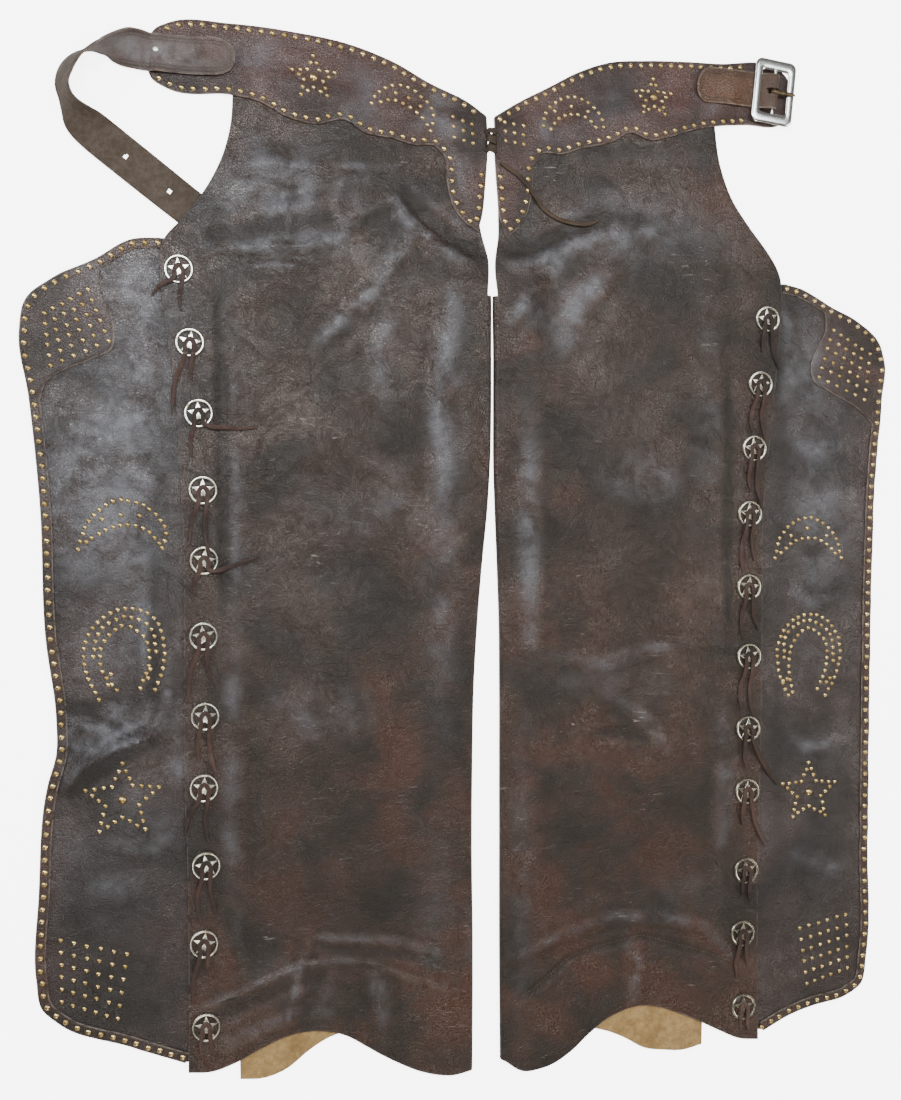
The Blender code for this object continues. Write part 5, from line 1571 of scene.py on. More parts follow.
def star_studs(x: float, y: float, reach: float, per_edge: int, turn: float = 0.0) -> list[tuple[float, float]]:
    """Stud places round a star: evenly along each of its ten edges."""
    corners = np.array(star_line(x, y, reach, turn))
    share = np.arange(per_edge)[None, :, None] / per_edge
    places = corners[:-1, None] * (1 - share) + corners[1:, None] * share
    return [tuple(place) for place in places.reshape(-1, 2)]


def grid_places(corners: Points, columns: int, rows: int) -> list[tuple[float, float]]:
    """Places of a slanted grid between four corners: upper outer, upper inner, lower inner, lower outer."""
    a, b, c, d = (np.array(corner, dtype=float) for corner in corners)
    u, v = np.meshgrid(np.linspace(0, 1, columns), np.linspace(0, 1, rows))
    u, v = u[..., None], v[..., None]
    grid = (1 - v) * ((1 - u) * a + u * b) + v * ((1 - u) * d + u * c)
    return [tuple(place) for place in grid.reshape(-1, 2)]


@dataclass(frozen=True)
class Motif:
    """Studs of one design: lines to follow, grids to fill and single studs, as x and y."""

    lines: tuple[tuple[tuple[float, float], ...], ...] = ()
    grids: tuple[tuple[tuple[tuple[float, float], ...], int, int], ...] = ()
    stars: tuple[tuple[float, float, float, int], ...] = ()
    singles: tuple[tuple[float, float], ...] = ()
    large: tuple[tuple[float, float], ...] = ()
    pitch: float = 7.0

    def places(self) -> np.ndarray:
        """All ordinary stud places of the design."""
        found = [even_places(line, self.pitch)[0] for line in self.lines]
        found += [np.array(grid_places(*grid)) for grid in self.grids]
        found += [np.array(star_studs(*star)) for star in self.stars]
        if self.singles:
            found.append(np.array(self.singles))
        return np.concatenate(found) if found else np.zeros((0, 2))


WING_MOTIFS = {
    Side.LEFT: Motif(
        lines=(
            ((-387, 12), (-377, 38), (-353, 56), (-326, 50), (-309, 24), (-313, 13)),
            ((-380, 18), (-362, 30), (-342, 34), (-326, 29), (-315, 17)),
            ((-369, -125), (-380, -100), (-381, -74), (-366, -51), (-342, -42), (-320, -51), (-311, -76),
             (-312, -98), (-319, -117)),
            ((-353, -117), (-366, -98), (-366, -76), (-347, -58), (-329, -68), (-324, -90), (-332, -115)),
            ((-374, -86), (-369, -64), (-346, -50), (-323, -60), (-318, -82)),
        ),
        grids=(
            (((-416, 224), (-378, 247), (-360, 201), (-411, 177)), 6, 6),
            (((-402, -341), (-344, -358), (-352, -416), (-401, -397)), 6, 6),
        ),
        stars=((-348, -217, 34.0, 3),),
        singles=((-366, 39), (-349, 43), (-333, 42), (-361, -112), (-358, -102), (-325, -106), (-323, -98)),
        large=((-348, -217),),
    ),
    Side.RIGHT: Motif(
        lines=(
            ((304, 3), (312, 28), (328, 41), (341, 45), (358, 39), (371, 26), (380, 3)),
            ((311, 8), (326, 20), (341, 24), (358, 20), (373, 8)),
            ((319, -139), (308, -112), (307, -88), (322, -63), (345, -55), (367, -66), (378, -92), (373, -118),
             (361, -140)),
            ((324, -136), (320, -112), (323, -88), (341, -70), (358, -80), (362, -106), (352, -133)),
            ((314, -100), (316, -78), (342, -62), (366, -76), (370, -104)),
        ),
        grids=(
            (((412, 217), (370, 240), (353, 191), (406, 169)), 6, 6),
            (((385, -370), (332, -381), (340, -439), (387, -426)), 6, 6),
        ),
        stars=((342, -240, 30.5, 3),),
        singles=((322, 26), (341, 34), (362, 26), (313, -124), (318, -122), (362, -126), (366, -122)),
        large=((342, -240),),
    ),
}
YOKE_MOTIFS = {
    Side.LEFT: Motif(
        lines=(
            ((-118, 437), (-113, 447), (-104, 454), (-92, 457), (-80, 455), (-69, 448), (-60, 438), (-57, 427),
             (-60, 415)),
            ((-109, 439), (-98, 442), (-84, 438), (-73, 431), (-64, 420)),
        ),
        grids=((((-38, 430), (-19, 424), (-18, 406), (-37, 410)), 3, 3),),
        stars=((-173, 457, 21.0, 2),),
        singles=((-94, 449), (-81, 446), (-70, 438)),
        large=((-173, 457),),
        pitch=7.4,
    ),
    Side.RIGHT: Motif(
        lines=(
            ((53, 428), (56, 441), (66, 453), (80, 460), (94, 459), (106, 452), (114, 441), (116, 432)),
            ((61, 426), (70, 438), (84, 443), (98, 440), (108, 431)),
        ),
        grids=((((14, 429), (33, 427), (33, 409), (15, 411)), 3, 3),),
        stars=((170, 466, 19.5, 2),),
        singles=((66, 445), (83, 451), (100, 447)),
        large=((170, 466),),
        pitch=7.4,
    ),
}


@dataclass
class Studwork:
    """The brass studs of one side: border rows and designs on the wing and the yoke."""

    side: Side
    border_radius: float = 2.65
    motif_radius: float = 2.25
    large_radius: float = 3.9
    wing_pitch: float = 11.2
    yoke_pitch: float = 10.8
    inset: float = 4.7

    def set_studs(self, name: str, places: np.ndarray, heights: np.ndarray, radius: np.ndarray) -> bpy.types.Object:
        """Set a stud at each place, each a little out of line and of its own tint."""
        source = np.random.default_rng(len(places) + (7 if self.side is Side.LEFT else 19))
        places = places + source.normal(0.0, 0.22, places.shape)
        points = np.column_stack([places, heights - 0.05])
        shape, faces = dome_shape()
        tint = source.uniform(0.0, 1.0, len(places))
        return tiled(name, shape, faces, points, source.uniform(0, 6.2, len(places)), radius, tint)

    def build_wing(self, wing: Wing) -> bpy.types.Object:
        """Stud the wing's border and its designs."""
        border = wing.border(self.inset)
        row = even_places(border, self.wing_pitch, bend=False)[0] * (self.side.value, 1.0)
        motif = WING_MOTIFS[self.side]
        inner, large = motif.places(), np.array(motif.large)
        patch = np.abs(inner[:, 0]) * 0.0
        places = np.concatenate([row, inner, large])
        out = np.abs(places[:, 0])
        on_trim = np.concatenate([np.ones(len(row)), (inner[:, 1] > 165.0) + patch, np.zeros(len(large))])
        heights = wing.top(out, places[:, 1]) + on_trim * (SEAT + TRIM)
        radius = np.concatenate([np.full(len(row), self.border_radius), np.full(len(inner), self.motif_radius),
                                 np.full(len(large), self.large_radius)])
        return self.set_studs("studs_wing_" + self.side.word, places, heights, radius)

    def build_yoke(self, yoke: Yoke) -> bpy.types.Object:
        """Stud the yoke's edges, clear of the strap, chape and lace, and its designs."""
        loop = rounded_loop(YOKE_EDGE[self.side], (0, 25) if self.side is Side.LEFT else (0, 26), 2.0)
        run = np.roll(loop, -1, axis=0) - np.roll(loop, 1, axis=0)
        inward = np.stack([-run[:, 1], run[:, 0]], axis=1) / np.linalg.norm(run, axis=1)[:, None]
        if self.side is Side.RIGHT:
            inward = -inward
        line = loop + inward * self.inset
        keep = loop_distance(loop, line) > self.inset - 0.35
        line = line[keep]
        row = even_places(line, self.yoke_pitch, bend=False)[0]
        out = np.abs(row[:, 0])
        hidden = (out < 9.0) & (row[:, 1] > 386.0)
        if self.side is Side.LEFT:
            hidden |= (out > 242.0) & (np.abs(row[:, 1] - 467.0) < 20.5)
        else:
            hidden |= (out > 211.0) & (np.abs(row[:, 1] - 483.0) < 18.0)
            hidden |= out > 274.0
        row = row[~hidden]
        motif = YOKE_MOTIFS[self.side]
        inner, large = motif.places(), np.array(motif.large)
        places = np.concatenate([row, inner, large])
        heights = yoke.top(np.abs(places[:, 0]), places[:, 1])
        radius = np.concatenate([np.full(len(row), self.border_radius), np.full(len(inner), self.motif_radius * 0.95),
                                 np.full(len(large), self.large_radius)])
        return self.set_studs("studs_yoke_" + self.side.word, places, heights, radius)


HEM_STITCHES = {
    Side.LEFT: (((-284, -413), (-260, -404), (-233, -395), (-184, -377), (-148, -375), (-114, -382), (-75, -399),
                 (-26, -416)),),
    Side.RIGHT: (((17, -432), (46, -417), (82, -390), (114, -382), (156, -375), (211, -392), (258, -410)),),
}


@dataclass
class Stitching:
    """Rows of single thread stitches that follow lines on the leather."""

    pitch: float = 3.4

    def sew(self, name: str, line: np.ndarray, height: np.ndarray | None, top: object = None) -> bpy.types.Object:
        """Sew along a line.

        Args:
            name: The piece's name.
            line: The line's plan, x and y.
            height: A height for the whole line, where it lies on something level.
            top: A function of out and y that gives the leather's height, where height isn't given.

        Returns:
            The new object.
        """
        places, turns = even_places(line, self.pitch, bend=False)
        z = top(np.abs(places[:, 0]), places[:, 1]) if top else np.full(len(places), float(height))
        points = np.column_stack([places, z])
        shape, faces = stitch_shape()
        source = np.random.default_rng(len(places))
        return tiled(name, shape, faces, points, turns + source.normal(0, 0.05, len(turns)), np.ones(len(places)),
                     source.uniform(0, 1, len(places)))


# ---- finishes ----

Colour = tuple[float, float, float]


@dataclass
class Graph:
    """A node tree being wired: adds nodes, sets their inputs and links them."""

    tree: bpy.types.NodeTree

    def add(self, kind: str, inputs: dict[str | int, object] | None = None, **settings: object) -> bpy.types.Node:
        """Add a node, set its options, and set or link its inputs.

        Args:
            kind: The node's type.
            inputs: Values or sockets for its inputs, by name or number.
            **settings: Options of the node.

        Returns:
            The node.
        """
        node = self.tree.nodes.new(kind)
        for option, value in settings.items():
            setattr(node, option, value)
        for key, value in (inputs or {}).items():
            socket = node.inputs[key]
            if isinstance(value, bpy.types.NodeSocket):
                self.tree.links.new(value, socket)
            elif isinstance(value, tuple) and len(value) == 3 and socket.type == "RGBA":
                socket.default_value = (*value, 1.0)
            else:
                socket.default_value = value
        return node

    def math(self, operation: str, a: object, b: object = 0.0, clamp: bool = False) -> bpy.types.NodeSocket:
        """One arithmetic step."""
        return self.add("ShaderNodeMath", {0: a, 1: b}, operation=operation, use_clamp=clamp).outputs[0]

    def mix(self, share: object, a: object, b: object, blend: str = "MIX") -> bpy.types.NodeSocket:
        """Blend two colours by a share."""
        node = self.add("ShaderNodeMix", data_type="RGBA", blend_type=blend)
        for socket, value in zip((node.inputs["Factor"], node.inputs[6], node.inputs[7]), (share, a, b)):
            if isinstance(value, bpy.types.NodeSocket):
                self.tree.links.new(value, socket)
            elif isinstance(value, tuple):
                socket.default_value = (*value, 1.0)
            else:
                socket.default_value = value
        return node.outputs[2]

    def span(self, value: object, low: float, high: float, to_low: float = 0.0, to_high: float = 1.0
             ) -> bpy.types.NodeSocket:
        """Stretch a value from one range to another, held at its ends."""
        node = self.add("ShaderNodeMapRange", {"Value": value, "From Min": low, "From Max": high,
                                               "To Min": to_low, "To Max": to_high}, interpolation_type="SMOOTHSTEP")
        return node.outputs[0]

    def noise(self, vector: object, scale: object, detail: float = 3.0, rough: float = 0.55, warp: float = 0.0
              ) -> bpy.types.NodeSocket:
        """Uneven value of a given scale."""
        return self.add("ShaderNodeTexNoise", {"Vector": vector, "Scale": scale, "Detail": detail,
                                               "Roughness": rough, "Distortion": warp}).outputs[0]


def new_group(name: str, inputs: dict[str, tuple[str, object]], outputs: dict[str, str]
              ) -> tuple[Graph, bpy.types.Node, bpy.types.Node]:
    """Start a shader node group with named sockets.

    Args:
        name: The group's name.
        inputs: Socket type and default value by name.
        outputs: Socket type by name.

    Returns:
        The graph to wire, its input node and its output node.
    """
    tree = bpy.data.node_groups.new(name, "ShaderNodeTree")
    for socket, (kind, value) in inputs.items():
        made = tree.interface.new_socket(name=socket, in_out="INPUT", socket_type=kind)
        if value is not None:
            made.default_value = value
    for socket, kind in outputs.items():
        tree.interface.new_socket(name=socket, in_out="OUTPUT", socket_type=kind)
    graph = Graph(tree)
    return graph, tree.nodes.new("NodeGroupInput"), tree.nodes.new("NodeGroupOutput")


FLOAT, VECTOR, COLOUR = "NodeSocketFloat", "NodeSocketVector", "NodeSocketColor"


def hide_grain_group() -> bpy.types.NodeTree:
    """Grain of old oiled hide: pebbles between fine valleys, pores, and long soft wrinkles."""
    graph, given, out = new_group(
        "hide grain", {"Vector": (VECTOR, None), "Scale": (FLOAT, 420.0), "Wrinkle": (FLOAT, 0.5)},
        {"Height": FLOAT, "Valley": FLOAT})
    vector, scale, wrinkle = (given.outputs[name] for name in ("Vector", "Scale", "Wrinkle"))
    bent = graph.add("ShaderNodeVectorMath", {0: vector, 1: graph.add("ShaderNodeVectorMath", {
        0: graph.add("ShaderNodeTexNoise", {"Vector": vector, "Scale": 90.0, "Detail": 2.0}).outputs["Color"],
        3: 0.004}, operation="SCALE").outputs[0]}, operation="ADD").outputs[0]
    cells = graph.add("ShaderNodeTexVoronoi", {"Vector": bent, "Scale": scale}, feature="DISTANCE_TO_EDGE").outputs[0]
    pebble = graph.span(cells, 0.0, 0.16)
    pores = graph.span(graph.noise(vector, graph.math("MULTIPLY", scale, 2.4), 2.0), 0.35, 0.6)
    folds = graph.add("ShaderNodeTexNoise", {"Vector": vector, "Scale": 38.0, "Detail": 5.0, "Roughness": 0.62,
                                             "Distortion": 1.1}).outputs[0]
    line = graph.span(graph.math("ABSOLUTE", graph.math("SUBTRACT", folds, 0.5)), 0.0, 0.045)
    height = graph.math("ADD", graph.math("MULTIPLY", pebble, 0.5), graph.math("MULTIPLY", pores, 0.22))
    height = graph.math("ADD", height, graph.math("MULTIPLY", graph.math("MULTIPLY", line, wrinkle), 1.1))
    graph.tree.links.new(height, out.inputs["Height"])
    valley = graph.math("SUBTRACT", 1.0, graph.math("MULTIPLY", line, pebble), clamp=True)
    graph.tree.links.new(valley, out.inputs["Valley"])
    return graph.tree


def hide_tone_group() -> bpy.types.NodeTree:
    """Colour of worn hide: dark, middle and pale tones in large and small blots, with rust-red passages."""
    graph, given, out = new_group(
        "hide tone", {"Vector": (VECTOR, None), "Dark": (COLOUR, None), "Middle": (COLOUR, None),
                      "Pale": (COLOUR, None), "Rust": (COLOUR, None), "Rust Share": (FLOAT, 0.0)},
        {"Color": COLOUR, "Blot": FLOAT})
    vector = given.outputs["Vector"]
    large = graph.noise(vector, 13.0, 3.0, 0.5, 0.25)
    small = graph.noise(vector, 70.0, 6.0, 0.7, 0.3)
    blot = graph.math("ADD", graph.math("MULTIPLY", large, 0.68), graph.math("MULTIPLY", small, 0.32))
    tone = graph.mix(graph.span(blot, 0.36, 0.54), given.outputs["Dark"], given.outputs["Middle"])
    tone = graph.mix(graph.span(blot, 0.50, 0.68), tone, given.outputs["Pale"])
    red = graph.math("MULTIPLY", graph.span(graph.noise(vector, 13.0, 4.0, 0.6, 0.5), 0.38, 0.62),
                     given.outputs["Rust Share"], clamp=True)
    graph.tree.links.new(graph.mix(red, tone, given.outputs["Rust"]), out.inputs["Color"])
    graph.tree.links.new(blot, out.inputs["Blot"])
    return graph.tree


def wear_group() -> bpy.types.NodeTree:
    """Wear: broken pale rubbing along cut edges, and short pale scuffs that run mostly one way."""
    graph, given, out = new_group(
        "wear", {"Vector": (VECTOR, None), "Edge": (FLOAT, 0.0), "Scuff": (FLOAT, 0.5)},
        {"Rub": FLOAT, "Scuffs": FLOAT})
    vector = given.outputs["Vector"]
    broken = graph.span(graph.noise(vector, 160.0, 3.0, 0.6), 0.34, 0.62)
    rub = graph.math("MULTIPLY", graph.span(given.outputs["Edge"], 0.35, 0.9), broken)
    stretched = graph.add("ShaderNodeMapping", {"Vector": vector, "Rotation": (0.0, 0.0, 0.5),
                                                "Scale": (1.0, 6.5, 1.0)}).outputs[0]
    lines = graph.noise(stretched, 62.0, 4.0, 0.7, 0.6)
    where = graph.span(graph.noise(vector, 15.0, 3.0, 0.5), 0.5, 0.68)
    scuffs = graph.math("MULTIPLY", graph.span(lines, 0.60, 0.72), where)
    graph.tree.links.new(rub, out.inputs["Rub"])
    graph.tree.links.new(graph.math("MULTIPLY", scuffs, given.outputs["Scuff"]), out.inputs["Scuffs"])
    return graph.tree


@dataclass
class Groups:
    """The shared node groups, each made once."""

    grain: bpy.types.NodeTree
    tone: bpy.types.NodeTree
    wear: bpy.types.NodeTree

    @classmethod
    def build(cls) -> "Groups":
        """Make all groups."""
        return cls(hide_grain_group(), hide_tone_group(), wear_group())


def start_material(name: str) -> tuple[bpy.types.Material, Graph, bpy.types.Node]:
    """A new material with its graph and its main shader."""
    made = bpy.data.materials.new(name)
    made.use_nodes = True
    return made, Graph(made.node_tree), made.node_tree.nodes["Principled BSDF"]


@dataclass(frozen=True)
class LeatherFinish:
    """A leather's colours, gloss and grain."""

    name: str
    dark: Colour
    middle: Colour
    pale: Colour
    rust: Colour
    # Colour of the painted sheen: a reflection of the light drawn into the base colour
    sheen: Colour = (0.128, 0.128, 0.140)
    rub: Colour = (0.20, 0.16, 0.13)
    flesh: Colour = (0.30, 0.20, 0.10)
    rough: tuple[float, float] = (0.19, 0.44)
    grain: float = 420.0
    wrinkle: float = 0.55
    depth: float = 0.00055
    scuff: float = 0.5
    rust_share: float = 0.3
    coat: float = 0.05
    edge_rub: float = 0.75
    gloss_tint: Colour = (1.0, 0.91, 0.83)

    def build(self, groups: Groups) -> bpy.types.Material:
        """Wire the leather: tone, painted sheen and painted shade marks, edge wear, flesh side and grain."""
        made, graph, shader = start_material(self.name)
        vector = graph.add("ShaderNodeTexCoord").outputs["Object"]
        marks = {name: graph.add("ShaderNodeAttribute", attribute_name=name).outputs["Fac"]
                 for name in ("edge", "flesh", "back", "shine", "red", "shade", "groove")}
        grain = graph.add("ShaderNodeGroup", {}, node_tree=groups.grain)
        tone = graph.add("ShaderNodeGroup", {}, node_tree=groups.tone)
        wear = graph.add("ShaderNodeGroup", {}, node_tree=groups.wear)
        for node in (grain, tone, wear):
            graph.tree.links.new(vector, node.inputs["Vector"])
        grain.inputs["Scale"].default_value = self.grain
        grain.inputs["Wrinkle"].default_value = self.wrinkle
        for socket, value in (("Dark", self.dark), ("Middle", self.middle), ("Pale", self.pale), ("Rust", self.rust)):
            tone.inputs[socket].default_value = (*value, 1.0)
        red = graph.math("ADD", marks["red"], self.rust_share, clamp=True)
        graph.tree.links.new(red, tone.inputs["Rust Share"])
        graph.tree.links.new(marks["edge"], wear.inputs["Edge"])
        wear.inputs["Scuff"].default_value = self.scuff
        # Painted sheen: where the shine mark lies, the colour is drawn in streaks toward the sheen colour
        streak = graph.noise(vector, 30.0, 6.0, 0.7, 0.25)
        shine = graph.math("MULTIPLY", marks["shine"], graph.span(streak, 0.32, 0.68), clamp=True)
        colour = graph.mix(shine, tone.outputs["Color"], self.sheen)
        # Painted shade: where the shade mark lies, the colour is darkened toward near black
        shade = graph.math("MULTIPLY", marks["shade"], 0.8, clamp=True)
        colour = graph.mix(shade, colour, (self.dark[0] * 0.45, self.dark[1] * 0.45, self.dark[2] * 0.45))
        colour = graph.mix(graph.math("MULTIPLY", grain.outputs["Valley"], 0.2), colour, self.dark)
        colour = graph.mix(wear.outputs["Scuffs"], colour, self.rub)
        colour = graph.mix(graph.math("MULTIPLY", wear.outputs["Rub"], self.edge_rub), colour, self.rub)
        colour = graph.mix(graph.math("MULTIPLY", marks["groove"], 0.75, clamp=True), colour, self.dark)
        fibre = graph.noise(vector, 210.0, 4.0, 0.7)
        tan = graph.mix(graph.span(fibre, 0.3, 0.7), (self.flesh[0] * 0.62, self.flesh[1] * 0.58, self.flesh[2] * 0.5),
                        self.flesh)
        stain = graph.span(graph.noise(vector, 30.0, 4.0, 0.6), 0.45, 0.68, 0.0, 0.5)
        tan = graph.mix(stain, tan, (self.flesh[0] * 0.4, self.flesh[1] * 0.33, self.flesh[2] * 0.25))
        colour = graph.mix(marks["flesh"], colour, tan)
        rough = graph.span(tone.outputs["Blot"], 0.40, 0.62, self.rough[1], self.rough[0])
        rough = graph.math("SUBTRACT", rough, graph.math("MULTIPLY", shine, 0.06))
        rough = graph.math("ADD", rough, graph.math("MULTIPLY", shade, 0.22))
        rough = graph.math("ADD", rough, graph.math("MULTIPLY", marks["flesh"], 0.4), clamp=True)
        fade = graph.math("SUBTRACT", 1.0, graph.math("MULTIPLY", marks["flesh"], 0.7))
        bump = graph.add("ShaderNodeBump", {"Height": graph.math("MULTIPLY", grain.outputs["Height"], fade),
                                            "Distance": self.depth, "Strength": 0.9})
        graph.tree.links.new(colour, shader.inputs["Base Color"])
        graph.tree.links.new(rough, shader.inputs["Roughness"])
        graph.tree.links.new(bump.outputs["Normal"], shader.inputs["Normal"])
        shader.inputs["Specular Tint"].default_value = (*self.gloss_tint, 1.0)
        shader.inputs["Coat Weight"].default_value = self.coat
        shader.inputs["Coat Roughness"].default_value = 0.28
        return made


@dataclass(frozen=True)
class MetalFinish:
    """A metal with tarnish in blots and wear."""

    name: str
    bright: Colour
    tarnish: Colour
    rough: tuple[float, float] = (0.22, 0.45)
    blot: float = 160.0
    share: tuple[float, float] = (0.42, 0.66)

    def build(self, groups: Groups) -> bpy.types.Material:
        """Wire the metal: tarnish over the bright colour, fine scratches, and a tint for each stud."""
        made, graph, shader = start_material(self.name)
        vector = graph.add("ShaderNodeTexCoord").outputs["Object"]
        tint = graph.add("ShaderNodeAttribute", attribute_name="tint").outputs["Fac"]
        spots = graph.noise(vector, self.blot, 4.0, 0.6)
        dull = graph.span(graph.math("ADD", spots, graph.math("MULTIPLY", tint, 0.12)), *self.share)
        colour = graph.mix(dull, self.bright, self.tarnish)
        wear = graph.add("ShaderNodeGroup", {"Vector": vector, "Scuff": 0.6}, node_tree=groups.wear)
        colour = graph.mix(wear.outputs["Scuffs"], colour, self.bright)
        graph.tree.links.new(colour, shader.inputs["Base Color"])
        graph.tree.links.new(graph.span(dull, 0.0, 1.0, self.rough[0], self.rough[1]), shader.inputs["Roughness"])
        shader.inputs["Metallic"].default_value = 1.0
        fine = graph.noise(vector, 900.0, 3.0, 0.6)
        bump = graph.add("ShaderNodeBump", {"Height": fine, "Distance": 0.00004, "Strength": 0.6})
        graph.tree.links.new(bump.outputs["Normal"], shader.inputs["Normal"])
        return made


@dataclass(frozen=True)
class ThreadFinish:
    """Waxed thread, lighter where it is rubbed."""

    name: str
    thread: Colour
    rubbed: Colour

    def build(self) -> bpy.types.Material:
        """Wire the thread: two tones by stitch, with a fine twist."""
        made, graph, shader = start_material(self.name)
        vector = graph.add("ShaderNodeTexCoord").outputs["Object"]
        tint = graph.add("ShaderNodeAttribute", attribute_name="tint").outputs["Fac"]
        colour = graph.mix(graph.span(tint, 0.2, 0.9), self.thread, self.rubbed)
        graph.tree.links.new(graph.mix(graph.span(graph.noise(vector, 700.0), 0.4, 0.6, 0.0, 0.4), colour,
                                       self.thread), shader.inputs["Base Color"])
        shader.inputs["Roughness"].default_value = 0.7
        bump = graph.add("ShaderNodeBump", {"Height": graph.noise(vector, 1600.0), "Distance": 0.0001})
        graph.tree.links.new(bump.outputs["Normal"], shader.inputs["Normal"])
        return made


LEG_LEATHER = LeatherFinish("leg hide", (0.0045, 0.0026, 0.0018), (0.017, 0.0105, 0.0078), (0.050, 0.036, 0.030),
                            (0.055, 0.018, 0.009), rust_share=0.25, scuff=0.85, rub=(0.26, 0.23, 0.21), edge_rub=0.25, flesh=(0.34, 0.22, 0.085))
WING_LEATHER = LeatherFinish("wing hide", (0.0065, 0.0045, 0.0036), (0.026, 0.019, 0.0175), (0.070, 0.058, 0.057),
                             (0.045, 0.018, 0.014), rust_share=0.12, scuff=0.35,
                             gloss_tint=(1.0, 0.95, 0.91))
TRIM_LEATHER = LeatherFinish("trim hide", (0.009, 0.005, 0.0045), (0.024, 0.0145, 0.013), (0.062, 0.043, 0.040),
                             (0.056, 0.021, 0.016), rust_share=0.3, scuff=0.35, wrinkle=0.3)
YOKE_LEATHER = LeatherFinish("yoke hide", (0.010, 0.0045, 0.004), (0.028, 0.0135, 0.012), (0.074, 0.044, 0.041),
                             (0.066, 0.022, 0.016), rust_share=0.4, scuff=0.35, wrinkle=0.3)
STRAP_LEATHER = LeatherFinish("strap hide", (0.024, 0.014, 0.011), (0.070, 0.045, 0.038), (0.15, 0.11, 0.098),
                              (0.085, 0.030, 0.018), sheen=(0.20, 0.195, 0.20), flesh=(0.070, 0.052, 0.040),
                              rough=(0.38, 0.62), wrinkle=0.2, rust_share=0.3, coat=0.02)
CHAPE_LEATHER = LeatherFinish("chape hide", (0.020, 0.010, 0.006), (0.055, 0.028, 0.015), (0.120, 0.070, 0.032),
                              (0.095, 0.038, 0.018), flesh=(0.16, 0.11, 0.06), wrinkle=0.25, rust_share=0.35)
THONG_LEATHER = LeatherFinish("thong hide", (0.012, 0.006, 0.005), (0.028, 0.014, 0.011), (0.060, 0.036, 0.028),
                              (0.080, 0.030, 0.020), rough=(0.45, 0.7), grain=700.0, wrinkle=0.3, coat=0.03,
                              rust_share=0.35, scuff=0.6)
LACE_LEATHER = LeatherFinish("lace hide", (0.014, 0.008, 0.004), (0.038, 0.023, 0.011), (0.080, 0.055, 0.028),
                             (0.090, 0.040, 0.020), rough=(0.45, 0.7), grain=700.0, wrinkle=0.3, coat=0.03,
                             rust_share=0.2, scuff=0.6)
BRASS = MetalFinish("old brass", (0.78, 0.60, 0.28), (0.34, 0.24, 0.09), (0.22, 0.42), 240.0)
SILVER = MetalFinish("pale nickel silver", (0.66, 0.64, 0.54), (0.30, 0.27, 0.17), (0.22, 0.42), 190.0, (0.44, 0.70))
BUCKLE_METAL = MetalFinish("buckle nickel", (0.84, 0.84, 0.82), (0.55, 0.54, 0.50), (0.16, 0.32), 90.0, (0.52, 0.8))
RIVET_METAL = MetalFinish("dull rivet metal", (0.78, 0.78, 0.76), (0.55, 0.54, 0.50), (0.5, 0.62), 190.0, (0.5, 0.8))
BRONZE = MetalFinish("dark bronze", (0.15, 0.105, 0.06), (0.05, 0.035, 0.022), (0.34, 0.55), 260.0, (0.36, 0.58))
DARK_THREAD = ThreadFinish("dark thread", (0.030, 0.020, 0.016), (0.085, 0.060, 0.045))
PALE_THREAD = ThreadFinish("tan thread", (0.075, 0.050, 0.030), (0.17, 0.125, 0.075))


RIDGE_SHINE, TROUGH_SHADE = 0.34, 0.70  # share of sheen or shade for each millimetre of a crease


@dataclass(frozen=True)
class Patch:
    """A soft oval passage on a leather piece: its middle, half sizes, turn in degrees and strength."""

    x: float
    y: float
    half_x: float
    half_y: float
    turn: float
    strength: float

    def at(self, x: np.ndarray, y: np.ndarray) -> np.ndarray:
        """Strength at each place: a bell curve over the oval's own axes."""
        c, s = math.cos(math.radians(self.turn)), math.sin(math.radians(self.turn))
        a = ((x - self.x) * c + (y - self.y) * s) / self.half_x
        b = (-(x - self.x) * s + (y - self.y) * c) / self.half_y
        return self.strength * np.exp(-(a * a + b * b))
